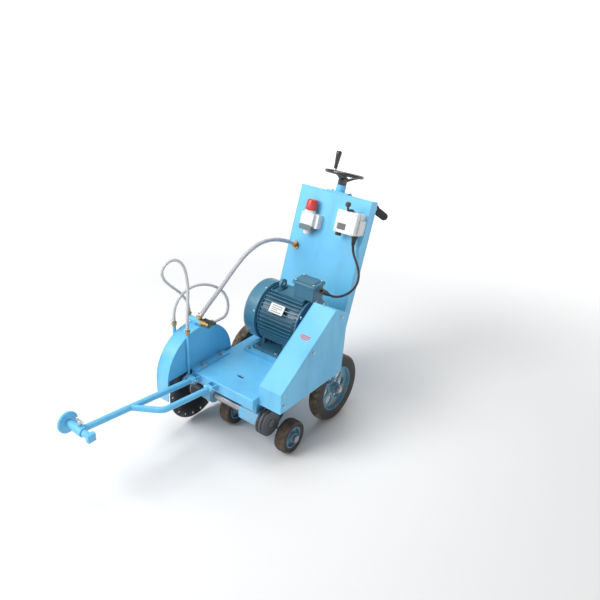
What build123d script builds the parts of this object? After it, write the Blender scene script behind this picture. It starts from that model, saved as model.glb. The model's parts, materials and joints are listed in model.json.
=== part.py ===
from build123d import *
from math import atan2, cos, degrees, hypot, radians, sin, tan
import os

os.makedirs("parts", exist_ok=True)

# Walk-behind concrete saw, millimetres. +Z up, -Y is the cutting direction, +X is the belt side.
# The origin is on the ground, under the middle of the machine's box.

# Base frame: a folded deck with a front skirt and two side skirts
DECK_Z = 270.0
DECK_LEFT, DECK_RIGHT = -175.0, 149.0
DECK_FRONT, DECK_REAR = -152.0, 379.0
PLATE = 6.0
FRONT_SKIRT, SIDE_SKIRT = 45.0, 34.0

# Column: a folded channel that leans back from the rear edge of the deck
TILT = 18.0
COLUMN_X, COLUMN_Y = -17.0, 380.0
COLUMN_WIDTH, COLUMN_HEIGHT, COLUMN_DEPTH = 360.0, 640.0, 48.0
SHEET = 3.0
SCREW_BACK = 30.0

# Blade, spindle and guard
SPINDLE_Y, SPINDLE_Z = -92.0, 155.0
BLADE_X, BLADE_R, BLADE_T = -215.0, 150.0, 3.2
ARBOR_R = 12.7
GUARD_Z, GUARD_R = 258.0, 185.0
GUARD_OUT, GUARD_IN = -248.0, -183.0
GUARD_BOTTOM = 173.0

# Motor, 132 mm shaft height, and the belt drive
MOTOR_Y, MOTOR_PLATE, MOTOR_H = 254.0, 16.0, 132.0
MOTOR_Z = DECK_Z + MOTOR_PLATE + MOTOR_H
COWL_X0, COWL_X1, COWL_R = -149.0, -82.0, 130.0
BODY_R, BODY_X1 = 106.0, 110.0
MOTOR_SHAFT_R = 19.0
BELT_X = (167.0, 185.0)
BELT_W, BELT_T = 10.0, 7.0
MOTOR_PULLEY_R, SPINDLE_PULLEY_R = 40.0, 55.0
PULLEY_X0, PULLEY_X1 = 158.0, 194.0

# Belt guard, in the YZ plane
COVER_X0, COVER_X1 = 149.0, 256.0
COVER = ((-118, 238), (-118, 321), (219, 550), (304, 504), (288, 238))

# Wheels and the undercarriage that carries them
REAR_Y, REAR_R, REAR_W = 286.0, 147.0, 47.0
REAR_IN = 200.0
FRONT_Y, FRONT_R, FRONT_W = -18.0, 70.0, 48.0
FRONT_LEFT_IN, FRONT_RIGHT_IN = 205.0, -88.0
REAR_AXLE_R, FRONT_AXLE_R = 12.0, 10.0
RAILS = (-30.0, 108.0)
RAIL_W = 20.0
POST_Y, POST_R = 62.0, 11.0

# Guide fork, crossbar and disc
HINGE_Y, HINGE_Z, HINGE_R = -180.0, 252.0, 6.0
FORK_RISE = 6.5
FORK_X = (-146.0, -50.0)
FORK_R = 12.5
FORK_BEND, FORK_JOIN, FORK_LENGTH = 246.0, 322.0, 548.0
BAR_R = 13.0
DISC_X0, DISC_X1, DISC_R = -221.0, -209.0, 42.0

# Handwheel
WHEEL_S, WHEEL_R, RIM_R = COLUMN_HEIGHT + 82, 78.0, 8.0
SCREW_R = 10.0

# Hoses and cable
HOSE_D, SUPPLY_D, CABLE_D = 12.0, 18.0, 10.0
INLET_R = 9.5
RUN = 0.05

lean = radians(TILT)
UP_COLUMN = Vector(0, sin(lean), cos(lean))
COLUMN = Plane(origin=(COLUMN_X, COLUMN_Y, DECK_Z), x_dir=(1, 0, 0), z_dir=(0, -cos(lean), sin(lean)))
rise = radians(FORK_RISE)
FORK = Plane(origin=(0, HINGE_Y, HINGE_Z), x_dir=(1, 0, 0), z_dir=(0, sin(rise), cos(rise)))


def across(s):
    """Plane across the column at height s along it; local Y runs from the front face to the rear."""
    origin = COLUMN.from_local_coords(Vector(0, s, 0))
    return Plane(origin=origin, x_dir=(1, 0, 0), z_dir=UP_COLUMN)


def on_column(x, s, out):
    """World point from column coordinates: across, along, and out from the front face."""
    return COLUMN.from_local_coords(Vector(x, s, out))


def cylinder(x0, x1, y, z, radius, hole=0.0, mode=Mode.ADD):
    """Cylinder or ring along X."""
    with BuildSketch(Plane.YZ.offset(x0)) as face:
        with Locations((y, z)):
            Circle(radius)
            if hole:
                Circle(hole, mode=Mode.SUBTRACT)
    extrude(face.sketch, amount=x1 - x0, mode=mode)


def box(x0, x1, y0, y1, z0, z1, mode=Mode.ADD):
    """Box between two corners."""
    with BuildSketch(Plane.XY.offset(z0)) as face:
        with Locations(((x0 + x1) / 2, (y0 + y1) / 2)):
            Rectangle(x1 - x0, y1 - y0)
    extrude(face.sketch, amount=z1 - z0, mode=mode)


def rod(start, end, radius, hole=0.0, mode=Mode.ADD):
    """Round rod or tube between two points."""
    a, b = Vector(start), Vector(end)
    with BuildSketch(Plane(origin=a, z_dir=b - a)) as face:
        Circle(radius)
        if hole:
            Circle(hole, mode=Mode.SUBTRACT)
    extrude(face.sketch, amount=(b - a).length, mode=mode)


def upright(x, y, z0, z1, radius, hole=0.0, mode=Mode.ADD):
    """Cylinder or ring along Z."""
    rod((x, y, z0), (x, y, z1), radius, hole, mode)


def hexagon(plane, x, y, radius, height):
    """Hexagon head standing on a plane."""
    with BuildSketch(plane) as face:
        with Locations((x, y)):
            RegularPolygon(radius, 6)
    extrude(face.sketch, amount=height)


def plate_yz(x0, x1, points, mode=Mode.ADD):
    """Flat plate with a straight-sided outline in the YZ plane."""
    with BuildSketch(Plane.YZ.offset(x0)) as face:
        with BuildLine():
            Polyline(*points, close=True)
        make_face()
    extrude(face.sketch, amount=x1 - x0, mode=mode)


def save(builder, name):
    """Label a finished piece and write it."""
    builder.part.label = name
    export_step(builder.part, f"parts/{name}.step")


def bent_tube(points, radius, bend):
    """Tube of straight runs with one bend radius, swept inside the active part."""
    with BuildLine() as route:
        FilletPolyline(*points, radius=bend)
    start, second = Vector(points[0]), Vector(points[1])
    with BuildSketch(Plane(origin=start, z_dir=second - start)) as face:
        Circle(radius)
    sweep(face.sketch, path=route.wire())


# ---------------------------------------------------------------- frame and column

def base_frame():
    """Folded deck with skirts, hinge lugs for the fork, and bolt holes."""
    with BuildPart() as base_frame:
        box(DECK_LEFT, DECK_RIGHT, DECK_FRONT, DECK_REAR, DECK_Z - PLATE, DECK_Z)
        front = DECK_FRONT + PLATE
        box(DECK_LEFT, DECK_RIGHT, DECK_FRONT, front, DECK_Z - FRONT_SKIRT, DECK_Z - PLATE)
        for x0 in (DECK_LEFT, DECK_RIGHT - PLATE):
            box(x0, x0 + PLATE, front, DECK_REAR, DECK_Z - SIDE_SKIRT, DECK_Z - PLATE)
        fold = base_frame.edges().filter_by(Axis.X).group_by(Axis.Y)[0].sort_by(Axis.Z)[-1]
        fillet(fold, radius=5)
        for x in FORK_X:
            for side in (-18.5, 14.0):
                lug = ((DECK_FRONT, 238), (HINGE_Y, 240), (HINGE_Y, 266), (DECK_FRONT, 264))
                plate_yz(x + side, x + side + 4.5, lug)
                cylinder(x + side, x + side + 4.5, HINGE_Y, HINGE_Z, 14)
                cylinder(x + side, x + side + 4.5, HINGE_Y, HINGE_Z, HINGE_R, mode=Mode.SUBTRACT)
        with BuildSketch(Plane.XY.offset(DECK_Z)) as slots:
            with Locations((3, -55)):
                SlotOverall(34, 14)
        extrude(slots.sketch, amount=-PLATE, mode=Mode.SUBTRACT)
    save(base_frame, "base_frame")


def motor_plate():
    """Thick plate under the motor, slotted so that the belts can be tightened."""
    with BuildPart() as motor_plate:
        box(-120, 122, 104, 374, DECK_Z, DECK_Z + MOTOR_PLATE)
        vertical = motor_plate.edges().filter_by(Axis.Z)
        fillet(vertical, radius=8)
        with BuildSketch(Plane.XY.offset(DECK_Z + MOTOR_PLATE)) as slots:
            with Locations((-104, 116), (102, 116), (-104, 362), (102, 362)):
                SlotOverall(26, 11)
        extrude(slots.sketch, amount=-MOTOR_PLATE, mode=Mode.SUBTRACT)
    save(motor_plate, "motor_plate")


def column_panel():
    """Channel of folded sheet, open to the rear, with a cap across its top."""
    inlet_x, inlet_s = inlet_centre()
    with BuildPart() as column_panel:
        with BuildSketch(COLUMN.offset(-COLUMN_DEPTH)) as outer:
            with Locations((0, COLUMN_HEIGHT / 2)):
                Rectangle(COLUMN_WIDTH, COLUMN_HEIGHT)
        extrude(outer.sketch, amount=COLUMN_DEPTH)
        long_edges = column_panel.faces().sort_by(Axis.Y)[0].edges().filter_by(
            lambda edge: abs(edge.tangent_at(0).X) < 0.1)
        fillet(long_edges, radius=4)
        with BuildSketch(COLUMN.offset(-COLUMN_DEPTH)) as inner:
            with Locations((0, (COLUMN_HEIGHT - SHEET) / 2)):
                Rectangle(COLUMN_WIDTH - 2 * SHEET, COLUMN_HEIGHT - SHEET)
        extrude(inner.sketch, amount=COLUMN_DEPTH - SHEET, mode=Mode.SUBTRACT)
        with BuildSketch(across(COLUMN_HEIGHT - 10)) as hole:
            with Locations((0, SCREW_BACK)):
                Circle(SCREW_R + 4)
        extrude(hole.sketch, amount=20, mode=Mode.SUBTRACT)
        with BuildSketch(COLUMN.offset(-SHEET - 1)) as inlet:
            with Locations((inlet_x, inlet_s)):
                Circle(INLET_R + 1.55)
        extrude(inlet.sketch, amount=SHEET + 2, mode=Mode.SUBTRACT)
    save(column_panel, "column_panel")


def inlet_centre():
    """Where the water inlet passes through the panel, in column coordinates."""
    a, b = Vector(SUPPLY[0]), Vector(SUPPLY[1])
    joint = COLUMN.to_local_coords(a + (a - b).normalized() * 30)
    return joint.X, joint.Y


def column_braces():
    """Cross bars behind the panel and the two gussets that stand it on the deck."""
    inner = COLUMN_WIDTH / 2 - SHEET
    with BuildPart() as column_braces:
        for s in (75, 215, 520):
            with BuildSketch(COLUMN.offset(-COLUMN_DEPTH + 1)) as bar:
                with Locations((0, s)):
                    Rectangle(2 * inner, 36)
            extrude(bar.sketch, amount=4)
        with BuildSketch(across(40)) as sleeve:
            with Locations((0, SCREW_BACK)):
                Rectangle(50, 50)
        extrude(sleeve.sketch, amount=210, mode=Mode.SUBTRACT)
        with BuildSketch(across(500)) as clear:
            with Locations((0, SCREW_BACK)):
                Circle(SCREW_R + 3)
        extrude(clear.sketch, amount=40, mode=Mode.SUBTRACT)
        for x in (-160, 126):
            foot = ((DECK_REAR - 70, DECK_Z), (DECK_REAR, DECK_Z), (DECK_REAR + 0.6, DECK_Z + 1),
                    (DECK_REAR + 0.3 + 60 * tan(lean), DECK_Z + 60))
            plate_yz(x, x + 5, foot)
    save(column_braces, "column_braces")


def guide_sleeves():
    """Two round sleeves under the deck and a square sleeve on the column for the riser."""
    with BuildPart() as guide_sleeves:
        for x0 in RAILS:
            x = x0 + RAIL_W / 2
            low, high = 180.0, DECK_Z - PLATE
            bottom = (x, post_y(low), low)
            rod(bottom, (x, post_y(high + 12), high + 12), POST_R + 5)
            rod((x, post_y(low - 10), low - 10), (x, post_y(high + 12), high + 12), POST_R + 0.3,
                mode=Mode.SUBTRACT)
            box(x - 40, x + 40, post_y(high) - 60, post_y(high) + 60, high, high + 40, mode=Mode.SUBTRACT)
        with BuildSketch(across(40)) as tube:
            with Locations((0, SCREW_BACK)):
                Rectangle(50, 50)
                Rectangle(41, 41, mode=Mode.SUBTRACT)
        extrude(tube.sketch, amount=210)
    save(guide_sleeves, "guide_sleeves")


def post_y(z):
    """Y of a guide post's axis at height z: the posts lean with the column."""
    return POST_Y + (z - 100) * tan(lean)


def screw_boss():
    """Bearing boss and its flat bar on top of the column."""
    with BuildPart() as screw_boss:
        with BuildSketch(across(COLUMN_HEIGHT)) as bar:
            with Locations((0, COLUMN_DEPTH / 2)):
                Rectangle(104, 44)
        extrude(bar.sketch, amount=6)
        with BuildSketch(across(COLUMN_HEIGHT)) as boss:
            with Locations((0, SCREW_BACK)):
                Circle(21)
        extrude(boss.sketch, amount=34)
        with BuildSketch(across(COLUMN_HEIGHT)) as bore:
            with Locations((0, SCREW_BACK)):
                Circle(SCREW_R + RUN)
        extrude(bore.sketch, amount=34, mode=Mode.SUBTRACT)
    save(screw_boss, "screw_boss")


def handles():
    """Two push bars out of the back of the column, and their rubber grips."""
    xs = (-COLUMN_WIDTH / 2 + 37, COLUMN_WIDTH / 2 - 37)
    drop = Vector(0, cos(radians(33)), -sin(radians(33)))
    with BuildPart() as handle_bars:
        for x in xs:
            a = on_column(x, COLUMN_HEIGHT - 22, -SHEET)
            b = on_column(x, COLUMN_HEIGHT - 22, -COLUMN_DEPTH - 12)
            bent_tube((a, b, b + drop * 150), 12.5, 18)
    save(handle_bars, "handle_bars")
    with BuildPart() as handle_grips:
        for x in xs:
            b = on_column(x, COLUMN_HEIGHT - 22, -COLUMN_DEPTH - 12)
            start = b + drop * 42
            rod(start, b + drop * 156, 17)
            rod(start, b + drop * 150, 12.5, mode=Mode.SUBTRACT)
            rod(start, start + drop * 6, 21, 12.5)
        ends = handle_grips.faces().filter_by(Plane(origin=(0, 0, 0), z_dir=drop)).group_by(
            SortBy.AREA)[-1].edges()
        fillet(ends, radius=4)
    save(handle_grips, "handle_grips")


# ---------------------------------------------------------------- undercarriage and wheels

def undercarriage():
    """Rails between the axles, the rear cross tube, two guide posts, and the riser with its nut."""
    dy, dz = REAR_Y - FRONT_Y, REAR_R - FRONT_R
    with BuildPart() as undercarriage:
        for x0 in RAILS:
            with BuildSketch(Plane.YZ.offset(x0)) as rail:
                with Locations(Location(((FRONT_Y + REAR_Y) / 2, (FRONT_R + REAR_R) / 2, 0),
                                        (0, 0, degrees(atan2(dz, dy))))):
                    SlotCenterToCenter(hypot(dy, dz), 34)
            extrude(rail.sketch, amount=RAIL_W)
            x = x0 + RAIL_W / 2
            rod((x, post_y(95), 95), (x, post_y(195), 195), POST_R)
        cylinder(-194, 194, REAR_Y, REAR_R, 19)
        box(COLUMN_X - 20, COLUMN_X + 20, REAR_Y, REAR_Y + 84, REAR_R - 17, REAR_R + 17)
        with BuildSketch(across(-146)) as riser:
            with Locations((0, SCREW_BACK)):
                Rectangle(40, 40)
        extrude(riser.sketch, amount=381)
        with BuildSketch(across(-100)) as hollow:
            with Locations((0, SCREW_BACK)):
                Rectangle(30, 30)
        extrude(hollow.sketch, amount=340, mode=Mode.SUBTRACT)
        cylinder(-200, 200, REAR_Y, REAR_R, REAR_AXLE_R, mode=Mode.SUBTRACT)
        cylinder(-60, 200, FRONT_Y, FRONT_R, FRONT_AXLE_R, mode=Mode.SUBTRACT)
        with BuildSketch(across(203)) as nut:
            with Locations((0, SCREW_BACK)):
                Rectangle(30, 30)
        extrude(nut.sketch, amount=32)
        with BuildSketch(across(190)) as thread:
            with Locations((0, SCREW_BACK)):
                Circle(SCREW_R + RUN)
        extrude(thread.sketch, amount=60, mode=Mode.SUBTRACT)
    save(undercarriage, "undercarriage")
    with BuildPart() as axles:
        reach = REAR_IN + REAR_W + 3
        cylinder(-reach, reach, REAR_Y, REAR_R, REAR_AXLE_R)
        cylinder(FRONT_RIGHT_IN - 3, FRONT_LEFT_IN + FRONT_W + 3, FRONT_Y, FRONT_R, FRONT_AXLE_R)
        for x0 in (-reach - 6, reach):
            cylinder(x0, x0 + 6, REAR_Y, REAR_R, 18)
        cylinder(FRONT_RIGHT_IN - 9, FRONT_RIGHT_IN - 3, FRONT_Y, FRONT_R, 15)
        cap = FRONT_LEFT_IN + FRONT_W + 3
        cylinder(cap, cap + 11, FRONT_Y, FRONT_R, 15)
        cylinder(FRONT_RIGHT_IN + FRONT_W + 3, FRONT_RIGHT_IN + FRONT_W + 9, FRONT_Y, FRONT_R, 15)
        cylinder(FRONT_LEFT_IN - 9, FRONT_LEFT_IN - 3, FRONT_Y, FRONT_R, 15)
    save(axles, "axles")


def wheel(name, x0, width, y, radius, rim_radius, axle, holes):
    """A rubber tyre on a pressed disc rim with a plain hub bore."""
    with BuildPart() as tyre:
        cylinder(x0, x0 + width, y, radius, radius, rim_radius)
        outside = tyre.edges().filter_by(GeomType.CIRCLE).group_by(SortBy.RADIUS)[-1]
        fillet(outside, radius=width * 0.2)
    save(tyre, f"{name}_tyre")
    middle = x0 + width / 2
    hub = axle + 10
    with BuildPart() as rim:
        cylinder(x0 + 3, x0 + width - 3, y, radius, rim_radius, rim_radius - 5)
        cylinder(middle - 3, middle + 3, y, radius, rim_radius - 5)
        cylinder(x0 - 1, x0 + width + 1, y, radius, hub)
        cylinder(x0 - 1, x0 + width + 1, y, radius, axle + RUN, mode=Mode.SUBTRACT)
        with BuildSketch(Plane.YZ.offset(middle - 3)) as windows:
            with Locations((y, radius)):
                with PolarLocations((hub + rim_radius - 5) / 2, holes):
                    Circle((rim_radius - 5 - hub) * 0.27)
        extrude(windows.sketch, amount=6, mode=Mode.SUBTRACT)
    save(rim, f"{name}_rim")


def wheels():
    """Two large wheels behind and two small ones in front, the right one inside the deck."""
    wheel("rear_left", REAR_IN, REAR_W, REAR_Y, REAR_R, 100, REAR_AXLE_R, 6)
    wheel("rear_right", -REAR_IN - REAR_W, REAR_W, REAR_Y, REAR_R, 100, REAR_AXLE_R, 6)
    wheel("front_left", FRONT_LEFT_IN, FRONT_W, FRONT_Y, FRONT_R, 46, FRONT_AXLE_R, 5)
    wheel("front_right", FRONT_RIGHT_IN, FRONT_W, FRONT_Y, FRONT_R, 46, FRONT_AXLE_R, 5)


# ---------------------------------------------------------------- depth screw and handwheel

def handwheel():
    """Depth screw, three-spoked wheel on its top, and a revolving grip on the rim."""
    with BuildPart() as depth_screw:
        with BuildSketch(across(120)) as shaft:
            with Locations((0, SCREW_BACK)):
                Circle(SCREW_R)
        extrude(shaft.sketch, amount=COLUMN_HEIGHT - 60)
        with BuildSketch(across(COLUMN_HEIGHT - 16)) as collar:
            with Locations((0, SCREW_BACK)):
                Circle(16)
        extrude(collar.sketch, amount=12.5)
    save(depth_screw, "depth_screw")

    def point(radius, angle, s):
        a = radians(angle)
        return across(s).from_local_coords(Vector(radius * cos(a), SCREW_BACK + radius * sin(a), 0))

    grip_angle = 155
    with BuildPart() as handwheel:
        with BuildSketch(across(COLUMN_HEIGHT + 34.5)) as hub:
            with Locations((0, SCREW_BACK)):
                Circle(20)
        extrude(hub.sketch, amount=34)
        for angle in (35, 155, 275):
            rod(point(14, angle, WHEEL_S - 28), point(WHEEL_R, angle, WHEEL_S), 6.5)
        upright_plane = Plane(origin=point(0, 0, WHEEL_S), x_dir=(1, 0, 0), z_dir=COLUMN.z_dir)
        with BuildSketch(upright_plane) as rim:
            with Locations((WHEEL_R, 0)):
                RegularPolygon(RIM_R, 16)
        revolve(rim.sketch, axis=Axis(origin=point(0, 0, WHEEL_S), direction=UP_COLUMN))
        rod(point(WHEEL_R, grip_angle, WHEEL_S + 4), point(WHEEL_R, grip_angle, WHEEL_S + 92), 4)
        rod(point(WHEEL_R, grip_angle, WHEEL_S + 4), point(WHEEL_R, grip_angle, WHEEL_S + 11), 8)
        rod(point(0, 0, WHEEL_S - 60), point(0, 0, 730 - 30), SCREW_R, mode=Mode.SUBTRACT)
    save(handwheel, "handwheel")
    with BuildPart() as handwheel_grip:
        with BuildSketch(Plane(origin=point(WHEEL_R, grip_angle, WHEEL_S + 12), z_dir=UP_COLUMN)) as low:
            Circle(8)
        with BuildSketch(Plane(origin=point(WHEEL_R, grip_angle, WHEEL_S + 78), z_dir=UP_COLUMN)) as high:
            Circle(12.5)
        loft(Sketch() + [low.sketch, high.sketch])
        with BuildSketch(Plane(origin=point(WHEEL_R, grip_angle, WHEEL_S + 78), z_dir=UP_COLUMN)) as top:
            Circle(12.5)
        extrude(top.sketch, amount=12)
        tip = handwheel_grip.edges().sort_by(Axis(origin=(0, 0, 0), direction=UP_COLUMN))[-1]
        fillet(tip, radius=8)
        rod(point(WHEEL_R, grip_angle, WHEEL_S + 2), point(WHEEL_R, grip_angle, WHEEL_S + 92.5),
            4 + RUN, mode=Mode.SUBTRACT)
    save(handwheel_grip, "handwheel_grip")


# ---------------------------------------------------------------- blade, spindle and guard

def spindle():
    """Shaft, two flanges, blade, nut and the two-groove pulley."""
    with BuildPart() as blade_shaft:
        cylinder(BLADE_X + 12, 150, SPINDLE_Y, SPINDLE_Z, 17.5)
        cylinder(150, PULLEY_X1 + 4, SPINDLE_Y, SPINDLE_Z, 15)
        cylinder(BLADE_X - 31, BLADE_X + 12, SPINDLE_Y, SPINDLE_Z, ARBOR_R)
    save(blade_shaft, "blade_shaft")
    half = BLADE_T / 2
    with BuildPart() as blade_flanges:
        for x0 in (BLADE_X - half - 9, BLADE_X + half):
            cylinder(x0, x0 + 9, SPINDLE_Y, SPINDLE_Z, 45, ARBOR_R)
        chamfer(blade_flanges.edges().filter_by(GeomType.CIRCLE).group_by(SortBy.RADIUS)[-1], length=1.5)
    save(blade_flanges, "blade_flanges")
    with BuildPart() as saw_blade:
        with BuildSketch(Plane.YZ.offset(BLADE_X - half)) as disc:
            with Locations((SPINDLE_Y, SPINDLE_Z)):
                Circle(BLADE_R)
                Circle(ARBOR_R, mode=Mode.SUBTRACT)
                with PolarLocations(BLADE_R - 6, 18):
                    Rectangle(16, 3, mode=Mode.SUBTRACT)
                with PolarLocations(BLADE_R - 15, 18):
                    Circle(4, mode=Mode.SUBTRACT)
        extrude(disc.sketch, amount=BLADE_T)
    save(saw_blade, "saw_blade")
    with BuildPart() as blade_nut:
        hexagon(Plane.YZ.offset(BLADE_X - half - 9 - 16), SPINDLE_Y, SPINDLE_Z, 19, 16)
        cylinder(BLADE_X - 40, BLADE_X, SPINDLE_Y, SPINDLE_Z, ARBOR_R, mode=Mode.SUBTRACT)
    save(blade_nut, "blade_nut")
    pulley("spindle_pulley", SPINDLE_Y, SPINDLE_Z, SPINDLE_PULLEY_R, 15)


def pulley(name, y, z, radius, bore):
    """Pulley with two belt grooves."""
    with BuildPart() as wheel_part:
        cylinder(PULLEY_X0, PULLEY_X1, y, z, radius)
        for x in BELT_X:
            half = BELT_W / 2 + 0.6
            cylinder(x - half, x + half, y, z, radius + 1, radius - BELT_T, mode=Mode.SUBTRACT)
        cylinder(PULLEY_X0 - 1, PULLEY_X1 + 1, y, z, bore, mode=Mode.SUBTRACT)
    save(wheel_part, name)


def spindle_supports():
    """Two bearing housings hung under the deck, and the bearings of the spindle and the motor."""
    with BuildPart() as spindle_housings:
        for x0, x1, r in ((58, 152, 38), (-150, -100, 36)):
            cylinder(x0, x1, SPINDLE_Y, SPINDLE_Z, r)
            box(x0 + 8, x1 - 14, SPINDLE_Y - 24, SPINDLE_Y + 24, SPINDLE_Z, DECK_Z - PLATE - 10)
            box(x0, x1 - 10, SPINDLE_Y - 38, SPINDLE_Y + 38, DECK_Z - PLATE - 10, DECK_Z - PLATE)
            cylinder(x0 - 1, x1 + 1, SPINDLE_Y, SPINDLE_Z, 18.5, mode=Mode.SUBTRACT)
            for end in (x0 + 3, x1 - 15):
                cylinder(end, end + 12, SPINDLE_Y, SPINDLE_Z, 30, mode=Mode.SUBTRACT)
        cylinder(152, 155, SPINDLE_Y, SPINDLE_Z, 41, 20)
    save(spindle_housings, "spindle_housings")
    with BuildPart() as shaft_bearings:
        for end in (61, 137, -147, -115):
            cylinder(end, end + 12, SPINDLE_Y, SPINDLE_Z, 30, 17.5 + RUN)
        for end in (COWL_X1, BODY_X1 + 4):
            cylinder(end, end + 6, MOTOR_Y, MOTOR_Z, 25, MOTOR_SHAFT_R + RUN)
    save(shaft_bearings, "shaft_bearings")


def blade_guard():
    """Arched guard: outboard plate, rim, half-moon inboard plate and its bolted foot."""
    y0, y1 = SPINDLE_Y - GUARD_R, SPINDLE_Y + GUARD_R
    with BuildPart() as blade_guard:
        cylinder(GUARD_OUT, GUARD_IN, SPINDLE_Y, GUARD_Z, GUARD_R)
        box(GUARD_OUT, GUARD_IN, y0, y1, GUARD_BOTTOM, GUARD_Z)
        box(GUARD_OUT - 1, GUARD_IN + 1, y0 - 1, y1 + 1, 0, GUARD_BOTTOM, mode=Mode.SUBTRACT)
        cylinder(GUARD_OUT + SHEET, GUARD_IN - SHEET, SPINDLE_Y, GUARD_Z, GUARD_R - SHEET,
                 mode=Mode.SUBTRACT)
        box(GUARD_OUT + SHEET, GUARD_IN - SHEET, y0 + SHEET, y1 - SHEET, GUARD_BOTTOM, GUARD_Z,
            mode=Mode.SUBTRACT)
        box(GUARD_IN - SHEET, GUARD_IN, y0, y1, GUARD_BOTTOM - 1, DECK_Z, mode=Mode.SUBTRACT)
        box(GUARD_IN - SHEET, -148, -150, 45, DECK_Z, DECK_Z + 6)
    save(blade_guard, "blade_guard")


def frame_bolts():
    """Bolts of the blade guard foot, the motor plate, the motor feet and the belt guard."""
    top = Plane.XY.offset
    with BuildPart() as frame_bolts:
        for y in (-96, 15):
            upright(-163, y, DECK_Z + 6, DECK_Z + 8, 12)
            hexagon(top(DECK_Z + 8), -163, y, 10, 8)
        for x in (-104, 102):
            for y in (116, 362):
                upright(x, y, DECK_Z + MOTOR_PLATE, DECK_Z + MOTOR_PLATE + 2, 9)
                hexagon(top(DECK_Z + MOTOR_PLATE + 2), x, y, 8, 6)
        for x in (-72, 32):
            for y in (MOTOR_Y - 118, MOTOR_Y + 118):
                hexagon(top(DECK_Z + MOTOR_PLATE + 14), x, y, 9, 8)
        for y, z in ((262, 502), (79, 422), (-98, 267)):
            cylinder(COVER_X1, COVER_X1 + 3, y, z, 7)
    save(frame_bolts, "frame_bolts")


# ---------------------------------------------------------------- belt drive and motor

def belt_guard():
    """Box cover over the belts: front, slope, top, side and inner plates, open below and behind."""
    (fy, fz), (gy, gz), (py, pz), (ry, rz), (by, bz) = COVER
    t = SHEET
    inside = ((fy + t, fz - 5), (fy + t, gz - t), (py, pz - 1.5 * t), (ry + 30, rz - 20), (by + 40, bz - 5))
    with BuildPart() as belt_guard:
        plate_yz(COVER_X0, COVER_X1, COVER)
        plate_yz(COVER_X0 + t, COVER_X1 - t, inside, mode=Mode.SUBTRACT)
        cylinder(COVER_X0 - 1, COVER_X0 + t + 1, MOTOR_Y, MOTOR_Z, 46, mode=Mode.SUBTRACT)
    save(belt_guard, "belt_guard")


def drive_belts():
    """Two belts round both pulleys."""
    with BuildPart() as drive_belts:
        for x in BELT_X:
            with BuildSketch(Plane.YZ.offset(x - BELT_W / 2)) as loop:
                for offset_r, mode in ((0.2, Mode.ADD), (-BELT_T + 0.5, Mode.SUBTRACT)):
                    with BuildSketch(Plane.XY, mode=mode) as hull:
                        with Locations((MOTOR_Y, MOTOR_Z)):
                            Circle(MOTOR_PULLEY_R + offset_r)
                        with Locations((SPINDLE_Y, SPINDLE_Z)):
                            Circle(SPINDLE_PULLEY_R + offset_r)
                        make_hull()
            extrude(loop.sketch, amount=BELT_W)
    save(drive_belts, "drive_belts")


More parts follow.
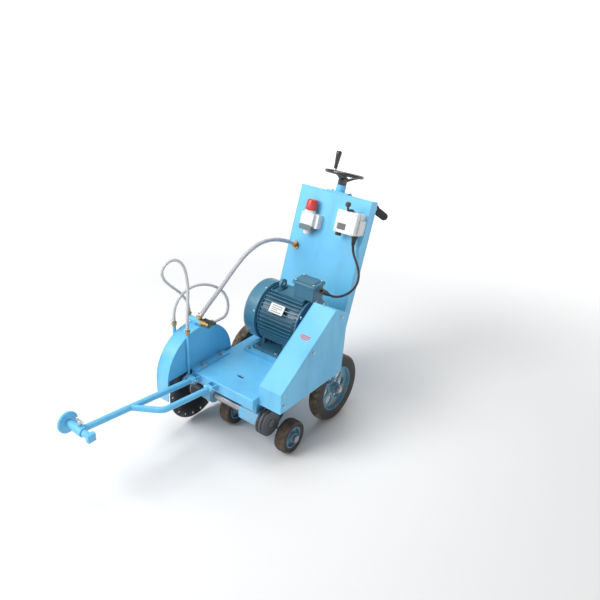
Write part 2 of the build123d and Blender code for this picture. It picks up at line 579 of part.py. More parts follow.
def motor():
    """Finned frame on feet, end shields, stator, rotor on its shaft, fan and fan cowl."""
    feet_z = DECK_Z + MOTOR_PLATE
    with BuildPart() as motor_frame:
        cylinder(COWL_X1 + 6, BODY_X1, MOTOR_Y, MOTOR_Z, BODY_R)
        with BuildSketch(Plane.YZ.offset(COWL_X1 + 14)) as fins:
            with Locations((MOTOR_Y, MOTOR_Z)):
                for angle in range(-44, 225, 8):
                    if not 74 <= angle <= 106:
                        with Locations(Location((0, 0, 0), (0, 0, angle))):
                            with Locations((BODY_R + 7, 0)):
                                Rectangle(24, 3.2)
        extrude(fins.sketch, amount=BODY_X1 - COWL_X1 - 20)
        box(-20, 100, MOTOR_Y - 42, MOTOR_Y + 42, MOTOR_Z + 60, MOTOR_Z + 122)
        box(-46, -26, MOTOR_Y - 20, MOTOR_Y + 20, MOTOR_Z + 100, MOTOR_Z + 126)
        for side in (-1, 1):
            y0, y1 = sorted((MOTOR_Y + side * 66, MOTOR_Y + side * 128))
            box(-88, 48, y0, y1, feet_z, feet_z + 14)
            y2, y3 = sorted((MOTOR_Y + side * 66, MOTOR_Y + side * 82))
            for x0 in (-74, 34):
                box(x0, x0 + 12, y2, y3, feet_z, MOTOR_Z - 60)
        cylinder(COWL_X1 + 5, BODY_X1 + 1, MOTOR_Y, MOTOR_Z, BODY_R - 8, mode=Mode.SUBTRACT)
        cylinder(-41, -31, MOTOR_Y, MOTOR_Z + 142, 21)
        cylinder(-42, -30, MOTOR_Y, MOTOR_Z + 145, 11, mode=Mode.SUBTRACT)
    save(motor_frame, "motor_frame")
    with BuildPart() as motor_end_shields:
        cylinder(BODY_X1, BODY_X1 + 8, MOTOR_Y, MOTOR_Z, 116, 25)
        cylinder(BODY_X1 + 8, BODY_X1 + 20, MOTOR_Y, MOTOR_Z, 60, 25)
        cylinder(COWL_X1, COWL_X1 + 6, MOTOR_Y, MOTOR_Z, 116, 25)
        chamfer(motor_end_shields.edges().filter_by(GeomType.CIRCLE).group_by(SortBy.RADIUS)[-1], length=2)
    save(motor_end_shields, "motor_end_shields")
    with BuildPart() as motor_stator:
        cylinder(-50, 78, MOTOR_Y, MOTOR_Z, BODY_R - 8, 61)
    save(motor_stator, "motor_stator")
    with BuildPart() as motor_shaft:
        cylinder(-128, PULLEY_X1 + 2, MOTOR_Y, MOTOR_Z, MOTOR_SHAFT_R)
        cylinder(-50, 78, MOTOR_Y, MOTOR_Z, 60)
    save(motor_shaft, "motor_shaft")
    with BuildPart() as cooling_fan:
        cylinder(-122, -96, MOTOR_Y, MOTOR_Z, 34)
        cylinder(-99, -96, MOTOR_Y, MOTOR_Z, 104)
        with BuildSketch(Plane.YZ.offset(-122)) as vanes:
            with Locations((MOTOR_Y, MOTOR_Z)):
                with PolarLocations(67, 9):
                    Rectangle(72, 4)
        extrude(vanes.sketch, amount=23)
        cylinder(-123, -95, MOTOR_Y, MOTOR_Z, MOTOR_SHAFT_R, mode=Mode.SUBTRACT)
    save(cooling_fan, "cooling_fan")
    with BuildPart() as fan_cowl:
        cylinder(COWL_X0, COWL_X1, MOTOR_Y, MOTOR_Z, COWL_R)
        back = fan_cowl.faces().sort_by(Axis.X)[0].edges()
        fillet(back, radius=18)
        cylinder(COWL_X0 + 2.5, COWL_X1 + 1, MOTOR_Y, MOTOR_Z, COWL_R - 17, mode=Mode.SUBTRACT)
        cylinder(COWL_X0 + 19, COWL_X1 + 1, MOTOR_Y, MOTOR_Z, COWL_R - 2.5, mode=Mode.SUBTRACT)
        with BuildSketch(Plane.YZ.offset(COWL_X0 - 1)) as grille:
            with Locations((MOTOR_Y, MOTOR_Z)):
                for ring, count in ((26, 8), (46, 14), (66, 20), (86, 26)):
                    with PolarLocations(ring, count):
                        Circle(6)
        extrude(grille.sketch, amount=5, mode=Mode.SUBTRACT)
        cylinder(COWL_X1 - 5, COWL_X1, MOTOR_Y, MOTOR_Z, COWL_R - 2.5, 116)
        cylinder(COWL_X1 - 5, COWL_X1 - 1, MOTOR_Y, MOTOR_Z, 128, 116, mode=Mode.SUBTRACT)
    save(fan_cowl, "fan_cowl")
    pulley("motor_pulley", MOTOR_Y, MOTOR_Z, MOTOR_PULLEY_R, MOTOR_SHAFT_R)


BOX_Z0, BOX_Z1 = MOTOR_Z + 122, MOTOR_Z + 182


def terminal_box():
    """Terminal box on the motor, its lid, and the glands at both ends of the motor cable."""
    y0, y1 = MOTOR_Y - 34, MOTOR_Y + 50
    with BuildPart() as terminal_box:
        box(38, 138, y0 + 6, y1 - 6, BOX_Z0, BOX_Z1)
        fillet(terminal_box.edges().filter_by(Axis.Z), radius=8)
        box(44, 132, y0 + 12, y1 - 12, BOX_Z0 + 6, BOX_Z1, mode=Mode.SUBTRACT)
    save(terminal_box, "terminal_box")
    with BuildPart() as terminal_lid:
        box(30, 146, y0, y1, BOX_Z1, BOX_Z1 + 9)
        fillet(terminal_lid.edges().filter_by(Axis.Z), radius=12)
        chamfer(terminal_lid.faces().sort_by(Axis.Z)[-1].edges(), length=3)
        for x in (44, 132):
            for y in (y0 + 13, y1 - 13):
                upright(x, y, BOX_Z1 + 9, BOX_Z1 + 12, 5)
    save(terminal_lid, "terminal_lid")
    with BuildPart() as cable_glands:
        a, b = Vector(CABLE[-1]), Vector(CABLE[-2])
        inward = (a - b).normalized()
        rod(a + inward * 26, a, 11, CABLE_D / 2)
        box(100, 138, y0, y1, BOX_Z0, BOX_Z1 + 1, mode=Mode.SUBTRACT)
        c, d = Vector(CABLE[0]), Vector(CABLE[1])
        back = (c - d).normalized()
        rod(c, c + back * 15.2, 11, CABLE_D / 2)
        rod(c + back * 9, c + back * 13, 14, 11)
        rod(on_column(78, 489, 35), on_column(78, 473, 35), 13, 9)
    save(cable_glands, "cable_glands")


# ---------------------------------------------------------------- switch box and power inlet

def switch():
    """Drum switch box on the right of the panel with its lever, and the power inlet."""
    with BuildPart() as switch_box:
        with BuildSketch(COLUMN) as base:
            with Locations((119, 536)):
                RectangleRounded(98, 94, 6)
        extrude(base.sketch, amount=70)
        fillet(switch_box.faces().filter_by(COLUMN).sort_by(Axis.Y)[0].edges(), radius=3)
        with BuildSketch(COLUMN) as block:
            with Locations((171, 526)):
                Rectangle(10, 60)
        extrude(block.sketch, amount=44)
        with BuildSketch(Plane(origin=on_column(119, 576, 38), z_dir=UP_COLUMN)) as bore:
            Circle(6 + RUN)
        extrude(bore.sketch, amount=8, mode=Mode.SUBTRACT)
    save(switch_box, "switch_box")
    with BuildPart() as switch_lever:
        rod(on_column(119, 577, 38), on_column(119, 592, 38), 6)
        rod(on_column(119, 588, 38), on_column(119, 588, 74), 5)
        rod(on_column(119, 588, 74), on_column(119, 602, 80), 5)
        with Locations(on_column(119, 610, 82)):
            Sphere(12)
    save(switch_lever, "switch_lever")
    with BuildPart() as power_inlet:
        with BuildSketch(COLUMN) as base:
            with Locations((-84, 495)):
                RectangleRounded(62, 76, 8)
        extrude(base.sketch, amount=48)
        with BuildSketch(COLUMN) as side:
            with Locations((-46, 500)):
                RectangleRounded(22, 60, 4)
        extrude(side.sketch, amount=32)
        rod(on_column(-88, 530, 26), on_column(-88, 542, 26), 24)
        rod(on_column(-88, 542, 26), on_column(-88, 560, 26), 17)
        rod(on_column(-88, 530, 26), on_column(-88, 566, 26), 13, mode=Mode.SUBTRACT)
        rod(on_column(-84, 457, 24), on_column(-84, 440, 24), 15)
    save(power_inlet, "power_inlet")
    with BuildPart() as inlet_lid:
        rod(on_column(-88, 543, 26), on_column(-88, 590, 26), 25)
        rod(on_column(-88, 540, 26), on_column(-88, 584, 26), 21, mode=Mode.SUBTRACT)
        crown = inlet_lid.edges().filter_by(GeomType.CIRCLE).sort_by(
            Axis(origin=(0, 0, 0), direction=UP_COLUMN))[-1]
        fillet(crown, radius=4)
        knuckle = on_column(-88, 545, 53)
        cylinder(knuckle.X - 9, knuckle.X + 9, knuckle.Y, knuckle.Z, 2.5)
    save(inlet_lid, "inlet_lid")


# ---------------------------------------------------------------- water line

TEE_X, MAIN_Y, MAIN_Z, MAIN_R = -198.0, -80.0, 458.0, 12.0
OUTER_PIPE = (-256.5, -163.0)
INNER_PIPE = (-176.4, -168.0)

SUPPLY = ((-158, 482, 636), (-158, 445, 656), (-160, 400, 677), (-163, 344, 696), (-167, 286, 704),
          (-170, 228, 698), (-174, 174, 677), (-178, 124, 644), (-181, 78, 608), (-184, 36, 573),
          (-187, -6, 541), (-193, -43, 509), (TEE_X, -74, 478))
HOSE_A = ((-150, -52, 458), (-150, -16, 458), (-155, 24, 452), (-166, 58, 468), (-181, 72, 504),
          (-197, 62, 542), (-210, 32, 570), (-218, -8, 592), (-225, -52, 604), (-232, -96, 603),
          (-238, -134, 586), (-246, -158, 552), (-256.5, -163, 510), (-256.5, -163, 470))
HOSE_B = ((-255, -80, 482), (-255, -80, 514), (-262, -96, 552), (-263, -124, 586), (-260, -156, 616),
          (-256, -188, 646), (-250, -216, 678), (-242, -230, 716), (-231, -212, 750), (-219, -174, 756),
          (-209, -146, 726), (-203, -138, 682), (-197, -138, 638), (-190, -146, 594), (-183, -158, 550),
          (-176.4, -168, 506), (-176.4, -168, 462))
CABLE = ((137, 500, 728), (137, 493, 698), (150, 487, 666), (178, 476, 634), (200, 462, 598),
         (206, 438, 562), (194, 408, 536), (180, 372, 528), (172, 336, 536), (169, 302, 554),
         (164, 272, 576))


def water_line():
    """Manifold on the guard, shut-off valve, pipes down both sides of the blade, and fittings."""
    with BuildPart() as water_manifold:
        cylinder(-262, -188, MAIN_Y, MAIN_Z, MAIN_R)
        upright(-255, MAIN_Y, MAIN_Z, 476, 7)
        box(-240, -212, MAIN_Y - 10, MAIN_Y + 10, 430, MAIN_Z)
        cylinder(-260, -190, SPINDLE_Y, GUARD_Z, GUARD_R, mode=Mode.SUBTRACT)
    save(water_manifold, "water_manifold")
    with BuildPart() as valve_body:
        with BuildSketch(Plane.YZ.offset(-188)) as hex_end:
            with Locations((MAIN_Y, MAIN_Z)):
                RegularPolygon(14, 6)
        extrude(hex_end.sketch, amount=14)
        cylinder(-174, -142, MAIN_Y, MAIN_Z, 12)
        rod((-150, MAIN_Y, MAIN_Z), (-150, -64, MAIN_Z), 9)
        upright(-164, MAIN_Y, MAIN_Z, MAIN_Z + 17, 8)
        upright(-164, MAIN_Y, MAIN_Z + 9, MAIN_Z + 18, 4 + RUN, mode=Mode.SUBTRACT)
    save(valve_body, "valve_body")
    with BuildPart() as valve_lever:
        upright(-164, MAIN_Y, MAIN_Z + 10, MAIN_Z + 24, 4)
        box(-172, -108, MAIN_Y - 8, MAIN_Y + 8, MAIN_Z + 18, MAIN_Z + 22)
        tips = valve_lever.edges().filter_by(Axis.Z).group_by(Axis.X)[-1]
        fillet(tips, radius=7)
    save(valve_lever, "valve_lever")
    with BuildPart() as water_pipes:
        ox, oy = OUTER_PIPE
        upright(ox, oy, 366, 452, 7.5)
        ix, iy = INNER_PIPE
        upright(ix, iy, 300, 440, 6.5)
        bent_tube(((ix, iy, 300), (ix, iy, 264), (ix - 20, iy - 12, 234), (ix - 20, iy - 26, 198)), 5, 12)
    save(water_pipes, "water_pipes")
    with BuildPart() as hose_fittings:
        for end, beside, r, length in (
                (HOSE_A[0], HOSE_A[1], 8, 12), (HOSE_B[0], HOSE_B[1], 8, 6),
                (HOSE_A[-1], HOSE_A[-2], 9, 12), (HOSE_B[-1], HOSE_B[-2], 9, 12),
                (SUPPLY[-1], SUPPLY[-2], 11, 14)):
            a = Vector(end)
            rod(a, a + (a - Vector(beside)).normalized() * length, r)
        cylinder(-266, -188, MAIN_Y, MAIN_Z, MAIN_R, mode=Mode.SUBTRACT)
        for x, y, z in ((OUTER_PIPE[0], OUTER_PIPE[1], 456), (INNER_PIPE[0], INNER_PIPE[1], 444)):
            hexagon(Plane.XY.offset(z - 2), x, y, 10.5 if x < -200 else 8.6, 8)
        a, b = Vector(SUPPLY[0]), Vector(SUPPLY[1])
        back = (a - b).normalized()
        joint = COLUMN.to_local_coords(a + back * 30)
        rod(a, a + back * 30, 11)
        root = on_column(joint.X, joint.Y, 0)
        rod(root, on_column(joint.X, joint.Y, joint.Z), 12)
        with Locations(on_column(joint.X, joint.Y, joint.Z)):
            Sphere(12)
        rod(root, on_column(joint.X, joint.Y, 5), 19)
        with BuildSketch(COLUMN.offset(-60)) as behind:
            with Locations((joint.X, joint.Y)):
                Rectangle(80, 80)
        extrude(behind.sketch, amount=60, mode=Mode.SUBTRACT)
        rod(root, on_column(joint.X, joint.Y, -SHEET), INLET_R + 1.5)
        rod(root, on_column(joint.X, joint.Y, -SHEET - 36), INLET_R)
    save(hose_fittings, "hose_fittings")


def corner_radii(points):
    """Largest arc for each corner: 0.45 of the shorter run over the tangent of half the turn."""
    radii = []
    for a, b, c in zip(points, points[1:], points[2:]):
        run_in, run_out = Vector(b) - Vector(a), Vector(c) - Vector(b)
        turn = radians(run_in.get_angle(run_out))
        radii.append(0.45 * min(run_in.length, run_out.length) / tan(turn / 2))
    return radii


def cord(name, points, diameter):
    """A hose or cable as straight runs joined by tangent arcs."""
    radii = corner_radii(points)
    with BuildPart() as tube:
        with BuildLine() as route:
            FilletPolyline(*points, radius=radii)
        start, second = Vector(points[0]), Vector(points[1])
        with BuildSketch(Plane(origin=start, z_dir=second - start)) as face:
            Circle(diameter / 2)
        sweep(face.sketch, path=route.wire())
    length = route.wire().length
    area = face.sketch.area
    runs = [round((Vector(b) - Vector(a)).length) for a, b in zip(points, points[1:])]
    print(name, "length", round(length), "volume ratio", round(tube.part.volume / (area * length), 4))
    print("  radii/diameter", [round(r / diameter, 1) for r in radii], "runs", runs)
    save(tube, name)


# ---------------------------------------------------------------- guide fork

def guide():
    """Two-legged fork on a hinge, crossbar with a square end, disc and clamp screw."""
    left, right = FORK_X
    at = FORK.from_local_coords
    with BuildPart() as guide_fork:
        for x in FORK_X:
            cylinder(x - FORK_R - 1, x + FORK_R + 1, HINGE_Y, HINGE_Z, FORK_R + 1.5)
        rod(at(Vector(left, 0, 0)), at(Vector(left, -FORK_LENGTH, 0)), FORK_R)
        leg = (Vector(right, 0, 0), Vector(right, -FORK_BEND, 0), Vector(left, -FORK_JOIN, 0))
        bent_tube([at(point) for point in leg], FORK_R - 0.4, 45)
        end = at(Vector(left, -FORK_LENGTH, 0))
        cylinder(left - 21, left + 21, end.Y, end.Z, BAR_R + 5)
        cylinder(left - 30, left + 30, end.Y, end.Z, BAR_R + RUN, mode=Mode.SUBTRACT)
        top = at(Vector(left, -FORK_LENGTH, BAR_R + 3))
        rod(top, at(Vector(left, -FORK_LENGTH, BAR_R + 12)), 9)
        rod(at(Vector(left, -FORK_LENGTH, 0)), at(Vector(left, -FORK_LENGTH, BAR_R + 13)), 4 + RUN,
            mode=Mode.SUBTRACT)
        cylinder(left - 60, right + 60, HINGE_Y, HINGE_Z, HINGE_R + RUN, mode=Mode.SUBTRACT)
    save(guide_fork, "guide_fork")
    with BuildPart() as hinge_pins:
        for x in FORK_X:
            cylinder(x - 21, x + 21, HINGE_Y, HINGE_Z, HINGE_R)
            for x0 in (x - 23.5, x + 18.5):
                cylinder(x0, x0 + 5, HINGE_Y, HINGE_Z, 9)
    save(hinge_pins, "hinge_pins")
    with BuildPart() as guide_crossbar:
        cylinder(DISC_X1 + 0.4, left + 52, end.Y, end.Z, BAR_R)
        cylinder(DISC_X0 - 4, DISC_X1 + 1, end.Y, end.Z, 8)
        cylinder(DISC_X0 - 8, DISC_X0 - 0.4, end.Y, end.Z, 13)
        with BuildSketch(Plane(origin=(left + 52, end.Y, end.Z), x_dir=(0, 1, 0), z_dir=(1, 0, 0))) as cap:
            Rectangle(32, 30)
        extrude(cap.sketch, amount=16)
    save(guide_crossbar, "guide_crossbar")
    with BuildPart() as guide_disc:
        cylinder(DISC_X0, DISC_X1, end.Y, end.Z, DISC_R)
        chamfer(guide_disc.edges(), length=2.5)
        cylinder(DISC_X0, DISC_X1, end.Y, end.Z, 8 + RUN, mode=Mode.SUBTRACT)
    save(guide_disc, "guide_disc")
    with BuildPart() as clamp_screw:
        rod(at(Vector(left, -FORK_LENGTH, BAR_R + 0.5)), at(Vector(left, -FORK_LENGTH, BAR_R + 24)), 4)
        rod(at(Vector(left, -FORK_LENGTH, BAR_R + 14)), at(Vector(left, -FORK_LENGTH, BAR_R + 24)), 7)
        wing = BAR_R + 21
        rod(at(Vector(left - 19, -FORK_LENGTH, wing)), at(Vector(left + 19, -FORK_LENGTH, wing)), 3)
    save(clamp_screw, "clamp_screw")


base_frame()
motor_plate()
column_panel()
column_braces()
guide_sleeves()
screw_boss()
handles()
undercarriage()
wheels()
handwheel()
spindle()
spindle_supports()
blade_guard()
frame_bolts()
belt_guard()
drive_belts()
motor()
terminal_box()
switch()
water_line()
guide()
cord("supply_hose", SUPPLY, SUPPLY_D)
cord("front_hose", HOSE_A, HOSE_D)
cord("loop_hose", HOSE_B, HOSE_D)
cord("motor_cable", CABLE, CABLE_D)
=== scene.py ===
"""Looks of a walk-behind concrete saw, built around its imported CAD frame.

Everything is in metres in the frame of the CAD model: +Z up, -Y the cutting direction, -X the
blade's side. CAD nodes keep their shape and get a finish; the new pieces add or replace what the
plain solids leave out. Each new piece is one or more shells, and a shell is a grid of points that
closes on itself round its second direction and ends in a pole or an open rim along its first.
"""
import json

import bmesh
import bpy
import numpy as np
from mathutils import Matrix, Vector


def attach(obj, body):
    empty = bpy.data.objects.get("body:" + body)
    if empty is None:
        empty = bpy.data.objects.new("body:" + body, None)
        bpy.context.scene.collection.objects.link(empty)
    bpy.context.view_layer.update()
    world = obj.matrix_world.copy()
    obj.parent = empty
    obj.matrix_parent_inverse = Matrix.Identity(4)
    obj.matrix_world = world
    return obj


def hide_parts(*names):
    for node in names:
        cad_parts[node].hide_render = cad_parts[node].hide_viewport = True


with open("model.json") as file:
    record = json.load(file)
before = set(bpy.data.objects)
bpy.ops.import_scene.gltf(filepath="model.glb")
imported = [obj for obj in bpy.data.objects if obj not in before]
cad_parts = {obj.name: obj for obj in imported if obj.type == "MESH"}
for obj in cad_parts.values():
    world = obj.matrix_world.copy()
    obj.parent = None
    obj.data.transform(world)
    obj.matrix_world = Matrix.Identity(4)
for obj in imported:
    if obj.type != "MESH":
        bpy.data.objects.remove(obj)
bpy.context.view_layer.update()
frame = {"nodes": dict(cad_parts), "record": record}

TAU = 2 * np.pi

# ---------------------------------------------------------------- places, in metres

LEAN = np.radians(18.0)
UP_COLUMN = np.array((0.0, np.sin(LEAN), np.cos(LEAN)))
OUT_COLUMN = np.array((0.0, -np.cos(LEAN), np.sin(LEAN)))
COLUMN_FOOT = np.array((-0.017, 0.380, 0.270))
SIDEWAYS = np.array((1.0, 0.0, 0.0))
UPRIGHT = np.array((0.0, 0.0, 1.0))

DECK_Z = 0.270
MOTOR_Y, MOTOR_Z = 0.254, 0.418
SPINDLE_Y, SPINDLE_Z = -0.092, 0.155
BLADE_X, BLADE_R = -0.215, 0.150
GUARD_Z, GUARD_R = 0.258, 0.185
GUARD_OUT, GUARD_IN = -0.248, -0.183
COVER_X0, COVER_X1 = 0.149, 0.256
COVER = np.array(((-0.118, 0.238), (-0.118, 0.321), (0.219, 0.550), (0.304, 0.504), (0.288, 0.238)))
REAR_Y, REAR_R, REAR_W, REAR_IN = 0.286, 0.147, 0.047, 0.200
FRONT_Y, FRONT_R, FRONT_W = -0.018, 0.070, 0.048
FRONT_LEFT_IN, FRONT_RIGHT_IN = 0.205, -0.088
HINGE_Y, HINGE_Z, FORK_LEFT, FORK_RIGHT = -0.180, 0.252, -0.146, -0.050
FORK_RISE, FORK_LENGTH = np.radians(6.5), 0.548
WHEEL_HEIGHT, WHEEL_R, RIM_R, SCREW_BACK = 0.722, 0.078, 0.008, 0.030
GRIP_ANGLE = np.radians(155.0)
BOX_TOP = MOTOR_Z + 0.182
COLUMN_HALF, COLUMN_TOP = 0.180, 0.640
SWITCH_X, SWITCH_S, SWITCH_FACE = 0.119, 0.536, 0.0698
INLET_X, INLET_S, INLET_FACE = -0.084, 0.506, 0.0478
HINGE_PIN = (-0.088, 0.545, 0.053)

# Routes of the hoses and the motor cable, in millimetres.
SUPPLY = ((-158, 482, 636), (-158, 445, 656), (-160, 400, 677), (-163, 344, 696), (-167, 286, 704),
          (-170, 228, 698), (-174, 174, 677), (-178, 124, 644), (-181, 78, 608), (-184, 36, 573),
          (-187, -6, 541), (-193, -43, 509), (-198, -74, 478))
FRONT_HOSE = ((-150, -52, 458), (-150, -16, 458), (-155, 24, 452), (-166, 58, 468), (-181, 72, 504),
              (-197, 62, 542), (-210, 32, 570), (-218, -8, 592), (-225, -52, 604), (-232, -96, 603),
              (-238, -134, 586), (-246, -158, 552), (-256.5, -163, 510), (-256.5, -163, 470))
LOOP_HOSE = ((-255, -80, 482), (-255, -80, 514), (-262, -96, 552), (-263, -124, 586),
             (-260, -156, 616), (-256, -188, 646), (-250, -216, 678), (-242, -230, 716),
             (-231, -212, 750), (-219, -174, 756), (-209, -146, 726), (-203, -138, 682),
             (-197, -138, 638), (-190, -146, 594), (-183, -158, 550), (-176.4, -168, 506),
             (-176.4, -168, 462))
MOTOR_CABLE = ((137, 500, 728), (137, 493, 698), (150, 487, 666), (178, 476, 634), (200, 462, 598),
               (206, 438, 562), (194, 408, 536), (180, 372, 528), (172, 336, 536), (169, 302, 554),
               (164, 272, 576))


def on_column(x, s, out):
    """A point on the column panel: x across, s up the slope, out in front of its face."""
    return COLUMN_FOOT + np.array((x, 0.0, 0.0)) + s * UP_COLUMN + out * OUT_COLUMN


def on_fork(along, lift=0.0, x=FORK_LEFT):
    """A point on the guide fork's left leg: along it from the hinge, and lift above its axis."""
    away = np.array((0.0, -np.cos(FORK_RISE), np.sin(FORK_RISE)))
    over = np.array((0.0, np.sin(FORK_RISE), np.cos(FORK_RISE)))
    return np.array((x, HINGE_Y, HINGE_Z)) + along * away + lift * over


# ---------------------------------------------------------------- camera, light and floor

def look_through(place, towards, up, lens, shift):
    """The camera's axes are towards, up and their cross product."""
    data = bpy.data.cameras.new("view")
    data.lens, data.sensor_width = lens, 36.0
    data.shift_x, data.shift_y = shift
    camera = bpy.data.objects.new("view", data)
    back = -Vector(towards).normalized()
    right = Vector(up).cross(back).normalized()
    turn = Matrix((right, back.cross(right), back)).transposed()
    camera.matrix_world = Matrix.Translation(place) @ turn.to_4x4()
    bpy.context.scene.collection.objects.link(camera)
    bpy.context.scene.camera = camera


def soft_light(name, place, aim, width, power):
    """A square area light of that width at place, turned to aim."""
    data = bpy.data.lights.new(name, "AREA")
    data.shape, data.size, data.energy = "SQUARE", width, power
    light = bpy.data.objects.new(name, data)
    light.matrix_world = Matrix.Translation(place) @ (
        Vector(place) - Vector(aim)).to_track_quat("Z", "Y").to_matrix().to_4x4()
    bpy.context.scene.collection.objects.link(light)


# ---------------------------------------------------------------- shader nodes

class Value:
    """A node's output socket. Arithmetic on it adds the Math nodes that work it out."""

    def __init__(self, finish, socket):
        self.finish, self.socket = finish, socket

    def sum(self, other):
        return self.finish.math("ADD", self, other)

    def difference(self, other):
        return self.finish.math("SUBTRACT", self, other)

    def reflected_difference(self, other):
        return self.finish.math("SUBTRACT", other, self)

    def product(self, other):
        return self.finish.math("MULTIPLY", self, other)

    def quotient(self, other):
        return self.finish.math("DIVIDE", self, other)

    def power(self, other):
        return self.finish.math("POWER", self, other)

    def larger(self, other):
        return self.finish.math("MAXIMUM", self, other)

    __add__ = __radd__ = sum
    __sub__, __rsub__ = difference, reflected_difference
    __mul__ = __rmul__ = product
    __truediv__, __pow__, __or__ = quotient, power, larger


class Finish:
    """One procedural material: a node tree that ends in a Principled shader."""

    def __init__(self, name):
        self.material = bpy.data.materials.new(name)
        self.material.use_nodes = True
        self.tree = self.material.node_tree
        self.tree.nodes.clear()
        place = self.add("ShaderNodeTexCoord")
        self.object, self.uv = place.outputs["Object"], place.outputs["UV"]

    def add(self, kind, settings=None, sockets=None):
        """A node of that kind: its settings first, then each socket's value or link."""
        node = self.tree.nodes.new(kind)
        for key, value in (settings or {}).items():
            if key == "stops":
                ramp = node.color_ramp.elements
                while len(ramp) < len(value):
                    ramp.new(1.0)
                for element, (position, colour) in zip(ramp, value):
                    element.position, element.color = position, (*colour, 1.0)
            else:
                setattr(node, key, value)
        for key, value in (sockets or {}).items():
            value = getattr(value, "socket", value)
            if isinstance(value, bpy.types.NodeSocket):
                self.tree.links.new(value, node.inputs[key])
            else:
                node.inputs[key].default_value = value
        return node

    def math(self, operation, *values):
        node = self.add("ShaderNodeMath", {"operation": operation}, dict(enumerate(values)))
        return Value(self, node.outputs[0])

    def axes(self, vector=None):
        """The three coordinates of a vector, the place on the object if none is given."""
        node = self.add("ShaderNodeSeparateXYZ", None, {0: vector or self.object})
        return [Value(self, out) for out in node.outputs]

    def noise(self, scale, detail=2.0, stretch=None, roughness=0.5):
        """Cloudy noise from 0 to 1 with about scale clouds a metre, stretched per axis."""
        place = self.object
        if stretch:
            place = self.add("ShaderNodeMapping", None,
                             {"Vector": place, "Scale": stretch}).outputs[0]
        node = self.add("ShaderNodeTexNoise", None, {
            "Vector": place, "Scale": scale, "Detail": detail, "Roughness": roughness})
        return Value(self, node.outputs["Fac"])

    def step(self, value, low, high):
        """A smooth step of value from 0 at low to 1 at high."""
        node = self.add("ShaderNodeMapRange", {"interpolation_type": "SMOOTHSTEP"}, {
            "Value": value, "From Min": low, "From Max": high})
        return Value(self, node.outputs["Result"])

    def blend(self, factor, first, second):
        """first where factor is 0, second where it is 1; each a colour or a colour's socket."""
        node = self.add("ShaderNodeMix", {"data_type": "RGBA"})
        for key, value in zip((0, 6, 7), (factor, first, second)):
            value = getattr(value, "socket", value)
            if isinstance(value, bpy.types.NodeSocket):
                self.tree.links.new(value, node.inputs[key])
            else:
                node.inputs[key].default_value = value if key == 0 else (*value, 1.0)
        return node.outputs[2]

    def bump(self, height, strength, depth, over=None):
        """A normal pushed by height: strength from 0 to 1, depth in metres."""
        sockets = {"Height": height, "Strength": strength, "Distance": depth}
        if over is not None:
            sockets["Normal"] = over
        return self.add("ShaderNodeBump", None, sockets).outputs[0]

    def end(self, colour, roughness, normal=None, metallic=0.0, constants=None):
        """The Principled shader; constants are sockets that are the same all over."""
        sockets = {"Roughness": roughness, "Metallic": metallic}
        if isinstance(colour, bpy.types.NodeSocket):
            sockets["Base Color"] = colour
        else:
            sockets["Base Color"] = (*colour, 1.0)
        if normal is not None:
            sockets["Normal"] = normal
        sockets.update(constants or {})
        shader = self.add("ShaderNodeBsdfPrincipled", None, sockets)
        self.add("ShaderNodeOutputMaterial", None, {"Surface": shader.outputs[0]})
        return self.material


# ---------------------------------------------------------------- finishes

DUST = (0.33, 0.28, 0.22)
BARE = (0.30, 0.30, 0.31)


def enamel(name, colour, pale, dusty_below=0.30, gloss=0.30, chips=0.5, peel=0.10):
    """Sprayed enamel: cloudy colour, orange peel, run-down grime, floor dust and small chips."""
    f = Finish(name)
    x, y, z = f.axes()
    clouds = f.noise(3.5, 3.0)
    grime = f.step(f.noise(14.0, 4.0, (1.0, 1.0, 0.22)), 0.52, 0.78) * 0.28
    low = f.step(z, dusty_below, dusty_below - 0.24)
    dust = low * f.step(f.noise(26.0, 5.0, None, 0.65), 0.36, 0.66) * 0.62
    specks = f.step(f.noise(230.0, 2.0), 0.725, 0.74) * f.step(f.noise(11.0), 0.60, 0.70) * chips
    scratches = f.step(f.noise(90.0, 2.0, (1.0, 0.06, 1.0)), 0.735, 0.75) * 0.35
    colour_now = f.blend(f.step(clouds, 0.30, 0.72), colour, pale)
    colour_now = f.blend(grime, colour_now, tuple(0.55 * c for c in colour))
    colour_now = f.blend(scratches, colour_now, tuple(min(1.0, 1.35 * c + 0.05) for c in colour))
    colour_now = f.blend(dust, colour_now, DUST)
    colour_now = f.blend(specks, colour_now, BARE)
    rough = gloss + 0.14 * clouds + 0.34 * dust + 0.25 * grime
    fine = f.bump(f.noise(620.0, 2.0), peel, 0.0006)
    normal = f.bump(f.noise(34.0, 2.0) - specks * 0.5, 0.16, 0.0016, fine)
    return f.end(colour_now, rough, normal, 0.0, {"Coat Weight": 0.25, "Coat Roughness": 0.18})


def turned(name, colour, rust, rough):
    """Turned or ground metal: fine lines round the X axis, oily clouds and a little rust."""
    f = Finish(name)
    x, y, z = f.axes()
    lines = f.noise(1.0, 2.0, (900.0, 18.0, 18.0))
    clouds = f.noise(20.0, 4.0)
    spots = f.step(f.noise(70.0, 5.0, None, 0.7), 0.60, 0.74) * rust
    low = f.step(z, 0.40, 0.05) * 0.5
    tone = f.blend(clouds * 0.5, colour, tuple(0.62 * c for c in colour))
    tone = f.blend(spots + spots * low, tone, (0.16, 0.075, 0.035))
    roughness = rough + 0.16 * clouds + 0.5 * spots + 0.08 * lines
    normal = f.bump(lines, 0.12, 0.0004)
    return f.end(tone, roughness, normal, 1.0 - spots)


